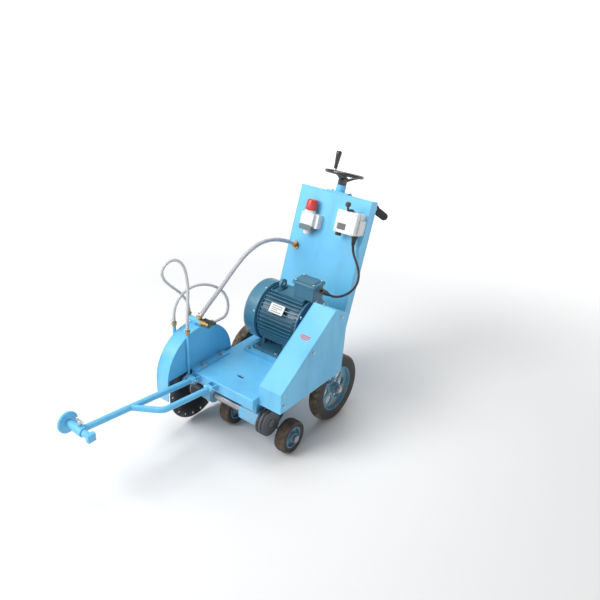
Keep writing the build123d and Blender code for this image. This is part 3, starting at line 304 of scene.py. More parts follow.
def plated(name, colour, rough):
    """Zinc or chrome plate, a little hazy, with dirt in the hollows."""
    f = Finish(name)
    haze = f.noise(60.0, 4.0)
    dirt = f.step(f.noise(35.0, 5.0), 0.55, 0.75) * 0.45
    tone = f.blend(dirt, f.blend(haze, colour, tuple(0.8 * c for c in colour)), (0.10, 0.09, 0.08))
    normal = f.bump(f.noise(320.0), 0.08, 0.0004)
    return f.end(tone, rough + 0.2 * haze + 0.3 * dirt, normal, 1.0 - 0.6 * dirt)


def moulded(name, colour, worn, rough, grain=0.10, scale=900.0, coat=0.0, dirt=0.35):
    """Moulded plastic: fine spark grain, rubbed patches and a film of dust."""
    f = Finish(name)
    clouds = f.noise(9.0, 3.0)
    film = f.step(f.noise(24.0, 5.0, None, 0.6), 0.50, 0.75) * dirt
    scuffs = f.step(f.noise(110.0, 2.0, (1.0, 0.12, 1.0)), 0.70, 0.74) * 0.4
    tone = f.blend(clouds, colour, worn)
    tone = f.blend(scuffs, tone, tuple(min(1.0, 1.25 * c + 0.03) for c in worn))
    tone = f.blend(film, tone, tuple(0.5 * c + 0.5 * d for c, d in zip(colour, DUST)))
    normal = f.bump(f.noise(scale, 1.0), grain, 0.0005)
    return f.end(tone, rough + 0.2 * film + 0.1 * clouds, normal, 0.0, {"Coat Weight": coat})


def tyre_rubber(name, axle_y, radius, wear):
    """Solid tyre: black side walls, a tread that wears to rusty brown, dust in the corners."""
    f = Finish(name)
    x, y, z = f.axes()
    from_axle = f.math("SQRT", (y - axle_y) * (y - axle_y) + (z - radius) * (z - radius))
    tread = f.step(from_axle, radius - 0.012, radius - 0.003)
    mud = f.noise(38.0, 5.0, None, 0.68)
    brown = tread * f.step(mud, 0.30, 0.60)
    smear = f.step(f.noise(16.0, 4.0), 0.50, 0.72) * 0.5
    tone = f.blend(f.noise(12.0, 2.0), (0.018, 0.018, 0.019), (0.034, 0.033, 0.032))
    tone = f.blend(smear, tone, (0.085, 0.075, 0.062))
    tone = f.blend(brown * wear, tone, f.blend(mud, (0.16, 0.085, 0.045), (0.30, 0.22, 0.15)))
    pits = f.bump(f.noise(420.0, 3.0), 0.35, 0.0012)
    normal = f.bump(mud, 0.5, 0.004, pits)
    return f.end(tone, 0.62 + 0.25 * brown + 0.12 * smear, normal)


def blade_steel():
    """Steel disc with grinding rings about its own axis and cement dust at the rim. Its near-black
    tone is partly the steel's own colour and partly painted shade from the guard over it.
    """
    f = Finish("blade_steel")
    x, y, z = f.axes()
    dy, dz = y - SPINDLE_Y, z - SPINDLE_Z
    from_axle = f.math("SQRT", dy * dy + dz * dz)
    ring_place = f.add("ShaderNodeCombineXYZ", None, {0: from_axle * 420.0}).outputs[0]
    rings = Value(f, f.add("ShaderNodeTexNoise", None, {
        "Vector": ring_place, "Scale": 1.0, "Detail": 3.0}).outputs["Fac"])
    cement = f.step(from_axle, 0.095, 0.150) * f.step(f.noise(45.0, 5.0), 0.35, 0.65)
    # near-black steel tone: partly the blade's own colour, partly painted shade of the guard's inside
    tone = f.blend(rings, (0.030, 0.031, 0.034), (0.060, 0.061, 0.066))
    tone = f.blend(cement * 0.45, tone, (0.22, 0.21, 0.19))
    return f.end(tone, 0.34 + 0.14 * rings + 0.3 * cement, f.bump(rings, 0.15, 0.0004),
                 0.85 - 0.7 * cement)


THREADS_ALONG, THREADS_AROUND = 60.0, 6.0


def hose_skin(name, colour, thread, rough, depth, braid=True):
    """Soft hose: milky wall with crossed reinforcing threads that follow its own surface, or
    without a braid just faint ribs round it."""
    f = Finish(name)
    u, v, w = f.axes(f.uv)
    if braid:
        right = f.math("SINE", (u * THREADS_ALONG + v * THREADS_AROUND) * TAU)
        left = f.math("SINE", (u * THREADS_ALONG - v * THREADS_AROUND) * TAU)
        threads = f.step(right | left, 0.80, 0.97)
    else:
        threads = f.step(f.math("SINE", u * THREADS_ALONG * TAU), 0.2, 1.0) * 0.25
    cloud = f.noise(16.0, 3.0)
    dirt = f.step(f.noise(40.0, 4.0), 0.52, 0.75) * 0.30
    tone = f.blend(threads, f.blend(cloud, colour, tuple(0.86 * c for c in colour)), thread)
    tone = f.blend(dirt, tone, (0.42, 0.38, 0.32))
    normal = f.bump(threads, 0.4, depth)
    return f.end(tone, rough + 0.2 * dirt, normal, 0.0, {
        "Subsurface Weight": 0.18, "Subsurface Radius": (0.01, 0.01, 0.01),
        "Coat Weight": 0.35, "Coat Roughness": 0.12})


def belt_cord():
    """Belt rubber, woven in fine lines side by side across its width."""
    f = Finish("belt_rubber")
    threads = f.noise(1.0, 2.0, (1400.0, 60.0, 60.0))
    dust = f.step(f.noise(30.0, 4.0), 0.5, 0.7) * 0.3
    tone = f.blend(dust, f.blend(threads, (0.014, 0.014, 0.014), (0.032, 0.031, 0.030)), DUST)
    return f.end(tone, 0.6 + 0.2 * threads, f.bump(threads, 0.3, 0.0005))


def cast_iron(colour):
    """As-cast iron with a sandy skin."""
    f = Finish("cast_iron")
    sand = f.noise(260.0, 3.0)
    oil = f.noise(14.0, 3.0)
    tone = f.blend(oil, colour, tuple(0.5 * c for c in colour))
    tone = f.blend(f.step(f.noise(60.0, 5.0), 0.60, 0.75) * 0.5, tone, (0.15, 0.08, 0.045))
    return f.end(tone, 0.48 + 0.25 * sand, f.bump(sand, 0.4, 0.0012), 0.6)


def laminated():
    """Stacked core sheets, as fine lines along X."""
    f = Finish("copper_stack")
    sheets = f.noise(1.0, 1.0, (1800.0, 8.0, 8.0))
    tone = f.blend(sheets, (0.20, 0.15, 0.11), (0.34, 0.28, 0.22))
    return f.end(tone, 0.5 + 0.2 * sheets, f.bump(sheets, 0.3, 0.0004), 0.7)


SKY, SKY_PALE = (0.115, 0.475, 0.780), (0.165, 0.560, 0.850)
finishes = {
    "frame_paint": enamel("frame_paint", SKY, SKY_PALE),
    "motor_paint": enamel("motor_paint", (0.040, 0.150, 0.235), (0.062, 0.195, 0.290),
                          gloss=0.36, chips=0.3, peel=0.28),
    "cowl_paint": enamel("cowl_paint", (0.056, 0.195, 0.295), (0.078, 0.245, 0.360),
                         chips=0.3, peel=0.14),
    "wheel_paint": enamel("wheel_paint", (0.085, 0.285, 0.440), (0.120, 0.350, 0.500),
                          dusty_below=0.34, gloss=0.42, chips=0.9, peel=0.18),
    "bare_steel": turned("bare_steel", (0.46, 0.46, 0.47), rust=0.25, rough=0.26),
    "bright_zinc": plated("bright_zinc", (0.66, 0.66, 0.63), rough=0.26),
    "blade_steel": blade_steel(),
    "dark_steel": turned("dark_steel", (0.085, 0.09, 0.10), rust=0.2, rough=0.38),
    "grip_rubber": moulded("grip_rubber", (0.016, 0.016, 0.017), (0.034, 0.034, 0.035),
                           rough=0.60, grain=0.35, scale=500.0),
    "belt_rubber": belt_cord(),
    "black_plastic": moulded("black_plastic", (0.013, 0.013, 0.014), (0.026, 0.026, 0.027),
                             rough=0.36),
    "handwheel_black": moulded("handwheel_black", (0.010, 0.010, 0.011), (0.022, 0.022, 0.023),
                               rough=0.20, grain=0.12, scale=160.0, coat=0.6, dirt=0.2),
    "white_plastic": moulded("white_plastic", (0.76, 0.77, 0.77), (0.68, 0.69, 0.68),
                             rough=0.34, grain=0.06, coat=0.2, dirt=0.22),
    "grey_plastic": moulded("grey_plastic", (0.115, 0.15, 0.165), (0.15, 0.19, 0.20), rough=0.45),
    "red_plastic": moulded("red_plastic", (0.52, 0.022, 0.020), (0.62, 0.045, 0.035),
                           rough=0.30, grain=0.08, coat=0.3, dirt=0.18),
    "label_dark": moulded("label_dark", (0.10, 0.105, 0.115), (0.14, 0.145, 0.155), rough=0.5),
    "label_white": moulded("label_white", (0.70, 0.71, 0.70), (0.60, 0.61, 0.60), rough=0.4),
    "label_red": moulded("label_red", (0.55, 0.05, 0.05), (0.62, 0.10, 0.08), rough=0.4),
    "brass": plated("brass", (0.52, 0.36, 0.15), rough=0.30),
    "chrome": plated("chrome", (0.78, 0.78, 0.78), rough=0.12),
    # the front and loop hoses are white; their mid-grey wall colour, darker than white, is painted shade
    "clear_hose": hose_skin("clear_hose", (0.56, 0.55, 0.56), (0.66, 0.66, 0.66),
                            rough=0.26, depth=0.0006, braid=False),
    "braided_hose": hose_skin("braided_hose", (0.42, 0.41, 0.46), (0.70, 0.69, 0.73),
                              rough=0.30, depth=0.0010),
    "cable_sheath": moulded("cable_sheath", (0.013, 0.013, 0.014), (0.028, 0.028, 0.029),
                            rough=0.50, grain=0.2, scale=700.0),
    "cast_iron": cast_iron((0.16, 0.18, 0.20)),
    "copper_stack": laminated(),
    "rear_rubber": tyre_rubber("rear_rubber", REAR_Y, REAR_R, wear=0.80),
    "front_rubber": tyre_rubber("front_rubber", FRONT_Y, FRONT_R, wear=0.42),
}


# ---------------------------------------------------------------- shells

def across_of(direction):
    """Two unit vectors square to a direction and to each other."""
    direction = np.asarray(direction, float)
    helper = UPRIGHT if abs(direction @ UPRIGHT) < 0.9 * np.linalg.norm(direction) else SIDEWAYS
    first = np.cross(helper, direction)
    first /= np.linalg.norm(first)
    second = np.cross(direction / np.linalg.norm(direction), first)
    return first, second


def lathe(profile, origin, direction, count=40, swell=None):
    """Turned shell. Row i is a circle of radius profile[i][0] at profile[i][1] along direction;
    swell(turn, along) multiplies the radius, turn running from 0 to a full circle."""
    radius, along = np.array(profile, float).T
    direction = np.asarray(direction, float) / np.linalg.norm(direction)
    first, second = across_of(direction)
    turn = np.linspace(0.0, TAU, count, endpoint=False)
    reach = radius[:, None] * np.ones(count)
    if swell is not None:
        reach = reach * swell(turn[None, :], along[:, None])
    ring = np.cos(turn)[:, None] * first + np.sin(turn)[:, None] * second
    return np.asarray(origin) + along[:, None, None] * direction + reach[..., None] * ring


def rounded_profile(radius, low, high, edge, hole=0.0, steps=4):
    """Profile of a drum from low to high with quarter-circle edges; it starts and ends at hole."""
    arc = np.linspace(0.0, np.pi / 2, steps)
    bottom = np.stack((radius - edge + edge * np.sin(arc), low + edge - edge * np.cos(arc)), 1)
    top = np.stack((radius - edge + edge * np.cos(arc), high - edge + edge * np.sin(arc)), 1)
    return [(hole, low), *map(tuple, bottom), *map(tuple, top), (hole, high)]


def six_sided(turn, along):
    """Radius of a hexagon over its half width across flats: 1 / cos of the angle off a flat."""
    return 1.0 / np.cos((turn + np.pi / 6) % (np.pi / 3) - np.pi / 6)


def hex_head(origin, direction, half_width, height):
    """Hexagon head with a washer face, a small chamfer under its crown and a flat top."""
    w = half_width
    profile = [(0, 0), (w * 0.98, 0), (w, height * 0.1), (w, height * 0.82), (w * 0.9, height),
               (0, height)]
    return lathe(profile, origin, direction, 36, six_sided)


def pan_head(origin, direction, radius, height):
    """Domed screw head: radius falls as a quarter ellipse, with a cross slot pressed in."""
    rise = np.linspace(0.0, np.pi / 2, 7)
    dome = np.stack((radius * np.cos(rise), height * np.sin(rise)), 1)
    profile = [(0, -0.0004), (radius, -0.0004), *map(tuple, dome[:-1]), (radius * 0.16, height),
               (radius * 0.15, height * 0.45), (0, height * 0.45)]
    return lathe(profile, origin, direction, 20)


def tube(path, radius, count=12, ripple=None, flat=1.0):
    """Tube along a path. Row i is a circle square to the path there; its radius comes from
    ripple(distance along) times radius, and flat squashes it along its second direction."""
    path = np.asarray(path, float)
    tangent = np.gradient(path, axis=0)
    tangent /= np.linalg.norm(tangent, axis=1)[:, None]
    spread = np.linalg.eigh(np.cov(path.T) + np.diag((1e-9, 2e-9, 3e-9)))[1][:, 0]
    first = np.cross(tangent, spread)
    first /= np.linalg.norm(first, axis=1)[:, None]
    second = np.cross(tangent, first)
    step = np.linalg.norm(np.diff(path, axis=0), axis=1)
    gone = np.concatenate(([0.0], np.cumsum(step)))
    size = radius * (np.ones(len(path)) if ripple is None else ripple(gone))
    turn = np.linspace(0.0, TAU, count, endpoint=False)
    ring = (np.cos(turn)[None, :, None] * first[:, None]
            + flat * np.sin(turn)[None, :, None] * second[:, None])
    rows = path[:, None] + size[:, None, None] * ring
    ends = [np.repeat(path[i][None, None], count, axis=1) for i in (0, -1)]
    return np.concatenate((ends[0], rows, ends[1]))


def weld_ripple(depth, pitch):
    """Width of a weld bead along its length: it swells by depth once every pitch."""
    return lambda gone: 1.0 + depth * np.sin(gone * TAU / pitch)


def bead(start, end, width):
    """Straight weld bead from start to end: a half-buried tube that ripples every 3 mm."""
    start, end = np.asarray(start, float), np.asarray(end, float)
    length = np.linalg.norm(end - start)
    t = np.linspace(0.0, 1.0, max(8, int(length / 0.0010)))
    path = start + t[:, None] * (end - start)
    return tube(path, width, 8, weld_ripple(0.16, 0.003))


def outline(width, height, corner, count=32):
    """Rounded rectangle: a circle of the corner radius whose quarters are moved apart."""
    turn = np.linspace(0.0, TAU, count, endpoint=False) + np.pi / count
    x = np.sign(np.cos(turn)) * (width / 2 - corner) + corner * np.cos(turn)
    y = np.sign(np.sin(turn)) * (height / 2 - corner) + corner * np.sin(turn)
    return np.stack((x, y), 1)


def plate(shape, origin, first, second, thick, edge):
    """Plate of an outline in the plane of first and second, its edges eased by edge."""
    shape = np.asarray(shape, float)
    first, second = np.asarray(first, float), np.asarray(second, float)
    over = np.cross(first, second)
    middle = shape.mean(0)
    size = np.abs(shape - middle).max()
    rows = []
    for shrink, lift in ((0.0, 0.0), (1 - edge / size, 0.0), (1.0, edge), (1.0, thick - edge),
                         (1 - edge / size, thick), (0.0, thick)):
        flat = middle + (shape - middle) * shrink
        rows.append(np.asarray(origin) + flat[:, :1] * first + flat[:, 1:] * second + lift * over)
    return np.stack(rows)


def piece(name, body, finish, *shells, slot=None, replaces=(), sharp=35.0):
    """One object from its shells: quads between neighbouring points, poles merged, faces turned
    outwards. It rides on body and takes the finish of that name; slot is the CAD material that
    it stands for, and is not used."""
    points, faces, base = [], [], 0
    for grid in shells:
        rows, columns = grid.shape[:2]
        index = base + np.arange(rows * columns).reshape(rows, columns)
        here, there = index[:-1], index[1:]
        quads = np.stack((here, np.roll(here, -1, 1), np.roll(there, -1, 1), there), -1)
        points.append(grid.reshape(-1, 3))
        faces.append(quads.reshape(-1, 4))
        base += rows * columns
    mesh = bpy.data.meshes.new(name)
    mesh.from_pydata(np.concatenate(points), [], np.concatenate(faces).tolist())
    work = bmesh.new()
    work.from_mesh(mesh)
    bmesh.ops.remove_doubles(work, verts=work.verts, dist=1e-6)
    bmesh.ops.recalc_face_normals(work, faces=work.faces)
    work.to_mesh(mesh)
    work.free()
    mesh.polygons.foreach_set("use_smooth", np.ones(len(mesh.polygons), bool))
    mesh.set_sharp_from_angle(angle=np.radians(sharp))
    mesh.materials.append(finishes[finish])
    made = bpy.data.objects.new(name, mesh)
    bpy.context.scene.collection.objects.link(made)
    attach(made, body)
    if replaces:
        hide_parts(*replaces)


# ---------------------------------------------------------------- camera, stage and cords

look_through((1.5372, -1.8148, 1.8001), (-0.56883, 0.68294, -0.45829),
             (-0.30547, 0.34193, 0.88869), 41.57, (0.075, 0.007))
soft_light("key", (-1.5, -2.6, 3.0), (0.0, 0.0, 0.4), 2.0, 118.0)
soft_light("fill", (3.2, -1.0, 1.9), (0.0, 0.0, 0.4), 2.6, 4.0)
soft_light("back", (-0.5, 3.0, 2.6), (0.0, 0.2, 0.5), 2.0, 34.0)
soft_light("top", (-0.5, 0.0, 3.6), (0.0, 0.0, 0.0), 2.0, 52.0)
bpy.context.scene.view_settings.view_transform = "Standard"


def room():
    """A studio whose walls are light near the floor and darker towards the ceiling."""
    world = bpy.data.worlds.new("room")
    world.use_nodes = True
    nodes, links = world.node_tree.nodes, world.node_tree.links
    height = nodes.new("ShaderNodeSeparateXYZ")
    links.new(nodes.new("ShaderNodeTexCoord").outputs["Generated"], height.inputs[0])
    fade = nodes.new("ShaderNodeMapRange")
    fade.interpolation_type = "SMOOTHSTEP"
    for key, value in (("From Min", 0.12), ("From Max", 0.42), ("To Min", 0.93), ("To Max", 0.26)):
        fade.inputs[key].default_value = value
    links.new(height.outputs["Z"], fade.inputs["Value"])
    links.new(fade.outputs["Result"], nodes["Background"].inputs["Strength"])
    nodes["Background"].inputs["Color"].default_value = (0.97, 0.985, 1.0, 1.0)
    bpy.context.scene.world = world


room()


def floor():
    """A pale floor 120 m across that glows a little more with each metre from the object, so that
    it stays as light far away as it is under the lamps."""
    f = Finish("floor")
    x, y, z = f.axes()
    far = f.step(f.math("SQRT", x * x + y * y), 1.2, 4.2)
    glow = f.blend(far, (0.0, 0.0, 0.0), (0.80, 0.80, 0.81))
    tone = f.blend(f.noise(1.5, 3.0), (0.86, 0.86, 0.86), (0.83, 0.83, 0.83))
    material = f.end(tone, 0.9, None, 0.0, {"Emission Color": glow, "Emission Strength": 1.0})
    mesh = bpy.data.meshes.new("floor")
    mesh.from_pydata([(-60, -60, 0), (60, -60, 0), (60, 60, 0), (-60, 60, 0)], [], [(0, 1, 2, 3)])
    mesh.materials.append(material)
    ground = bpy.data.objects.new("floor", mesh)
    bpy.context.scene.collection.objects.link(ground)


floor()


def hose(name, points, radius, finish, replaces):
    """A round cord on one smooth NURBS curve whose control points are the route's points."""
    data = bpy.data.curves.new(name, "CURVE")
    data.dimensions, data.resolution_u = "3D", 8
    data.bevel_depth, data.bevel_resolution, data.use_fill_caps = radius, 5, True
    spline = data.splines.new("NURBS")
    spline.points.add(len(points) - 1)
    for point, place in zip(spline.points, points):
        point.co = (*(c / 1000 for c in place), 1.0)
    spline.order_u, spline.use_endpoint_u = 3, True
    data.materials.append(finishes[finish])
    made = bpy.data.objects.new(name, data)
    bpy.context.scene.collection.objects.link(made)
    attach(made, "frame")
    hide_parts(replaces)


hose("supply_hose_skin", SUPPLY, 0.009, "braided_hose", "supply_hose")
hose("front_hose_skin", FRONT_HOSE, 0.006, "clear_hose", "front_hose")
hose("loop_hose_skin", LOOP_HOSE, 0.006, "clear_hose", "loop_hose")
hose("motor_cable_skin", MOTOR_CABLE, 0.005, "cable_sheath", "motor_cable")


# ---------------------------------------------------------------- finishes of the CAD nodes

OWN_FINISH = {"valve_lever": "dark_steel", "switch_lever": "handwheel_black",
              "rear_left_tyre": "rear_rubber", "rear_right_tyre": "rear_rubber",
              "front_left_tyre": "front_rubber", "front_right_tyre": "front_rubber"}
for entry in frame["record"]["subparts"]:
    finish = finishes[OWN_FINISH.get(entry["node"], entry["material_slot"])]
    for held in frame["nodes"][entry["node"]].material_slots:
        held.material = finish


# ---------------------------------------------------------------- handwheel and grips

def wheel_point(radius, turn, lift=0.0):
    """A point at radius and turn round the depth screw, lift above the plane of the rim."""
    turn = np.asarray(turn, float)[..., None]
    lift = np.asarray(lift, float)[..., None]
    centre = on_column(0.0, WHEEL_HEIGHT, -SCREW_BACK)
    radius = np.asarray(radius, float)[..., None]
    out = np.cos(turn) * SIDEWAYS - np.sin(turn) * OUT_COLUMN
    return centre + radius * out + lift * UP_COLUMN


def handwheel():
    """Round rim with finger dents below, three dished spokes, a hub, and the grip's pin."""
    turn = np.linspace(0.0, TAU, 97)[:, None]
    around = np.linspace(0.0, TAU, 16, endpoint=False)[None, :]
    thick = RIM_R * (1.0 - 0.09 * np.clip(-np.sin(around), 0, 1) * (0.5 + 0.5 * np.cos(24 * turn)))
    rim = wheel_point(WHEEL_R + thick * np.cos(around), turn + 0 * around, thick * np.sin(around))
    shells = [rim]

    def waist(gone):
        return 1.0 - 0.22 * np.sin(np.pi * gone / gone[-1])

    t = np.linspace(0.0, 1.0, 16)
    for angle in (35.0, 155.0, 275.0):
        path = wheel_point(0.014 + (WHEEL_R - 0.014) * t, np.full(16, np.radians(angle)),
                           -0.028 * (1 - t) ** 1.4)
        shells.append(tube(path, 0.0068, 12, waist, 0.8))
    hub = rounded_profile(0.020, -0.0475, -0.0125, 0.004)
    shells.append(lathe(hub, wheel_point(0.0, 0.0), UP_COLUMN))
    shells.append(lathe(rounded_profile(0.015, -0.014, -0.006, 0.002), wheel_point(0.0, 0.0), UP_COLUMN))
    foot = wheel_point(WHEEL_R, GRIP_ANGLE)
    piece("handwheel_casting", "depth_control", "handwheel_black", *shells,
          replaces=("handwheel",), slot="handwheel_black")
    piece("handwheel_bright_parts", "depth_control", "chrome",
          lathe(rounded_profile(0.0088, 0.0035, 0.0112, 0.0012), foot, UP_COLUMN),
          lathe(rounded_profile(0.0038, 0.008, 0.0925, 0.001), foot, UP_COLUMN, 16),
          lathe(rounded_profile(0.0115, -0.0062, -0.0045, 0.0004), wheel_point(0.0, 0.0), UP_COLUMN),
          hex_head(wheel_point(0.0, 0.0, -0.0045), UP_COLUMN, 0.0095, 0.008),
          lathe(rounded_profile(0.0055, 0.0, 0.0065, 0.001), wheel_point(0.0, 0.0), UP_COLUMN, 16))
    grip = [(0.0042, 0.0122), (0.0070, 0.0122), (0.0079, 0.0130), (0.0081, 0.018), (0.0085, 0.030),
            (0.0096, 0.045), (0.0110, 0.060), (0.0121, 0.071), (0.0125, 0.078), (0.0122, 0.083),
            (0.0110, 0.0872), (0.0088, 0.0893), (0.0060, 0.0900), (0.0042, 0.0900), (0.0042, 0.0122)]
    piece("revolving_grip", "wheel_grip", "handwheel_black", lathe(grip, foot, UP_COLUMN, 32),
          replaces=("handwheel_grip",), slot="handwheel_black", sharp=50)


def push_grips():
    """Moulded sleeves on the push bars: a flange, then rings whose radius follows a cosine."""
    slope = np.radians(33.0)
    drop = np.array((0.0, np.cos(slope), -np.sin(slope)))
    along = np.linspace(0.052, 0.148, 97)
    rings = 0.0166 + 0.0006 * np.clip(3.0 * np.cos(along * TAU / 0.006), -1, 1)
    profile = [(0.0125, 0.042), (0.0195, 0.042), (0.0208, 0.0435), (0.0208, 0.0465), (0.0195, 0.048),
               (0.0172, 0.0495), *zip(rings, along), (0.0168, 0.151), (0.0150, 0.1545),
               (0.0110, 0.156), (0.0, 0.156)]
    shells = [lathe(profile, on_column(x, 0.618, -0.060), drop, 36) for x in (-0.143, 0.143)]
    piece("push_bar_grips", "frame", "grip_rubber", *shells, replaces=("handle_grips",),
          slot="grip_rubber")


# ---------------------------------------------------------------- wheels and blade

def tyre(wheel, left, width, axle_y, radius, inner, lugs, finish):
    """Solid tyre: bulged side walls, rounded shoulders cut into lugs, a tread with two grooves."""
    side = np.linspace(-1.0, 1.0, 41)
    crown = radius * (1.0 - 0.035 * np.abs(side) ** 6)
    grooves = 0.0030 * (np.exp(-((np.abs(side) - 0.30) / 0.045) ** 2))
    tread = np.stack((crown - grooves, (left + width / 2) + side * (width / 2 - 0.004)), 1)
    wall = ((inner, left + 0.002), (inner + 0.3 * (radius - inner), left + 0.0005),
            (inner + 0.7 * (radius - inner), left), (radius * 0.955, left + 0.0015))
    other = [(r, 2 * left + width - x) for r, x in reversed(wall)]
    middle = left + width / 2

    def notches(turn, along):
        shoulder = np.clip((np.abs(along - middle) / (width / 2) - 0.48) / 0.12, 0, 1)
        cut = np.clip((np.cos(lugs * turn + np.sign(along - middle) * 0.8) - 0.55) * 6, 0, 1)
        return 1.0 - 0.028 * shoulder * cut * (np.abs(along - middle) < width / 2 - 0.002)

    shell = lathe([*wall, *map(tuple, tread), *other, wall[0]], (0.0, axle_y, radius), SIDEWAYS,
                  lugs * 8, notches)
    piece(f"{wheel}_tread", f"{wheel}_wheel", finish, shell, replaces=(f"{wheel}_tyre",),
          slot="tyre_rubber", sharp=40)


def wheels():
    """Tyres, rim bolts and axle nuts of the four wheels."""
    for side, left in (("left", REAR_IN), ("right", -REAR_IN - REAR_W)):
        tyre(f"rear_{side}", left, REAR_W, REAR_Y, REAR_R, 0.0995, 36, "rear_rubber")
        turn = np.arange(6) * TAU / 6 + np.pi / 6
        heads = []
        for face, way in ((left + REAR_W / 2 + 0.003, 1.0), (left + REAR_W / 2 - 0.003, -1.0)):
            for a in turn:
                spot = (face, REAR_Y + 0.0345 * np.cos(a), REAR_R + 0.0345 * np.sin(a))
                heads.append(hex_head(spot, way * SIDEWAYS, 0.0055, 0.0050))
        piece(f"rear_{side}_rim_bolts", f"rear_{side}_wheel", "bright_zinc", *heads,
              slot="bright_zinc")
    for side, left in (("left", FRONT_LEFT_IN), ("right", FRONT_RIGHT_IN)):
        tyre(f"front_{side}", left, FRONT_W, FRONT_Y, FRONT_R, 0.0455, 24, "front_rubber")
    end = REAR_IN + REAR_W + 0.009
    nuts = [hex_head((way * end, REAR_Y, REAR_R), way * SIDEWAYS, 0.0115, 0.0075) for way in (-1.0, 1.0)]
    piece("axle_nuts", "wheel_carriage", "bright_zinc", *nuts, slot="bright_zinc")


def blade_segments(count=24):
    """Abrasive segments brazed on the blade's rim: arc pieces with gaps between them."""
    shells = []
    for start in np.arange(count) * TAU / count:
        arc = start + np.linspace(0.02, TAU / count - 0.035, 7)
        outer = np.stack((np.cos(arc), np.sin(arc)), 1) * BLADE_R
        inner = np.stack((np.cos(arc[::-1]), np.sin(arc[::-1])), 1) * (BLADE_R - 0.0075)
        shells.append(plate(np.concatenate((outer, inner)), (BLADE_X - 0.0020, SPINDLE_Y, SPINDLE_Z),
                            (0, 1, 0), (0, 0, 1), 0.0040, 0.0004))
    piece("blade_rim_segments", "spindle", "cast_iron", *shells, slot="cast_iron")


# ---------------------------------------------------------------- welds, hems and screws

def arc_bead(x, centre, radius, start, end, width):
    """Weld bead along an arc in a plane of constant x."""
    turn = np.linspace(start, end, int(abs(end - start) * radius / 0.0012))
    y, z = centre[0] + radius * np.cos(turn), centre[1] + radius * np.sin(turn)
    path = np.stack((np.full(len(turn), x), y, z), 1)
    return tube(path, width, 8, weld_ripple(0.16, 0.0035))


def hem(start, end, radius=0.0024):
    """Smooth rolled edge between two corners."""
    return tube(np.linspace(start, end, 6), radius, 10)


def welds():
    """Beads where plates and tubes meet, and the rolled edges of the sheet-metal boxes."""
    shells = []
    guard = (SPINDLE_Y, GUARD_Z)
    for x in (GUARD_OUT + 0.0012, GUARD_IN - 0.0012):
        shells.append(arc_bead(x, guard, GUARD_R - 0.0008, 0.0, np.pi, 0.0022))
    for y in (SPINDLE_Y - GUARD_R + 0.0008, SPINDLE_Y + GUARD_R - 0.0008):
        shells.append(bead((GUARD_OUT + 0.0012, y, GUARD_Z), (GUARD_OUT + 0.0012, y, 0.176), 0.0022))
    shells.append(bead((-0.172, 0.3790, DECK_Z + 0.0005), (0.147, 0.3790, DECK_Z + 0.0005), 0.0034))
    for x in (-0.1605, -0.1545, 0.1255, 0.1315):
        shells.append(bead((x, 0.312, DECK_Z), (x, 0.372, DECK_Z), 0.0026))
    for x in (FORK_LEFT, FORK_RIGHT):
        for side in (-0.0185, -0.0140, 0.0140, 0.0185):
            shells.append(bead((x + side, -0.1525, 0.240), (x + side, -0.1525, 0.263), 0.0020))
    piece("frame_weld_beads", "frame", "frame_paint", *shells, slot="frame_paint", sharp=60)

    inset = 0.0017
    shells = []
    middle = COVER.mean(0)
    corner = COVER + (middle - COVER) * inset * 1.4 / np.linalg.norm(middle - COVER, axis=1)[:, None]
    for x in (COVER_X0 + inset, COVER_X1 - inset):
        for a, b in zip(corner[:4], corner[1:]):
            shells.append(hem((x, *a), (x, *b)))
    for a in corner[1:4]:
        shells.append(hem((COVER_X0 + inset, *a), (COVER_X1 - inset, *a)))
    for side in (-1, 1):
        x = side * (COLUMN_HALF - inset)
        shells.append(hem(on_column(x, 0.012, -inset), on_column(x, COLUMN_TOP - inset, -inset)))
        shells.append(hem(on_column(x, COLUMN_TOP - inset, -inset),
                          on_column(x, COLUMN_TOP - inset, -0.046)))
    shells.append(hem(on_column(-COLUMN_HALF + inset, COLUMN_TOP - inset, -inset),
                      on_column(COLUMN_HALF - inset, COLUMN_TOP - inset, -inset)))
    piece("rolled_edges", "frame", "frame_paint", *shells, slot="frame_paint", sharp=60)

    def collar(along, radius, x=FORK_LEFT):
        turn = np.linspace(0.0, TAU, 60)
        lift = np.cos(turn)[:, None] * (on_fork(0.0, 1.0) - on_fork(0.0))
        path = on_fork(along, 0.0, x) + radius * (lift + np.sin(turn)[:, None] * SIDEWAYS)
        return tube(path, 0.0024, 8, weld_ripple(0.15, 0.0035))

    piece("fork_weld_beads", "fork", "frame_paint", collar(FORK_LENGTH - 0.0175, 0.0128),
          collar(0.0135, 0.0122), collar(0.0135, 0.0118, FORK_RIGHT), slot="frame_paint", sharp=60)

    shells = []
    turn = np.linspace(0.0, TAU, 90)
    for x in (-0.031, -0.009, 0.107, 0.129, -0.038, 0.004):
        y, z = REAR_Y + 0.0192 * np.cos(turn), REAR_R + 0.0192 * np.sin(turn)
        ring = np.stack((np.full(90, x), y, z), 1)
        shells.append(tube(ring, 0.0026, 8, weld_ripple(0.15, 0.0035)))
    piece("carriage_weld_beads", "wheel_carriage", "frame_paint", *shells, slot="frame_paint", sharp=60)


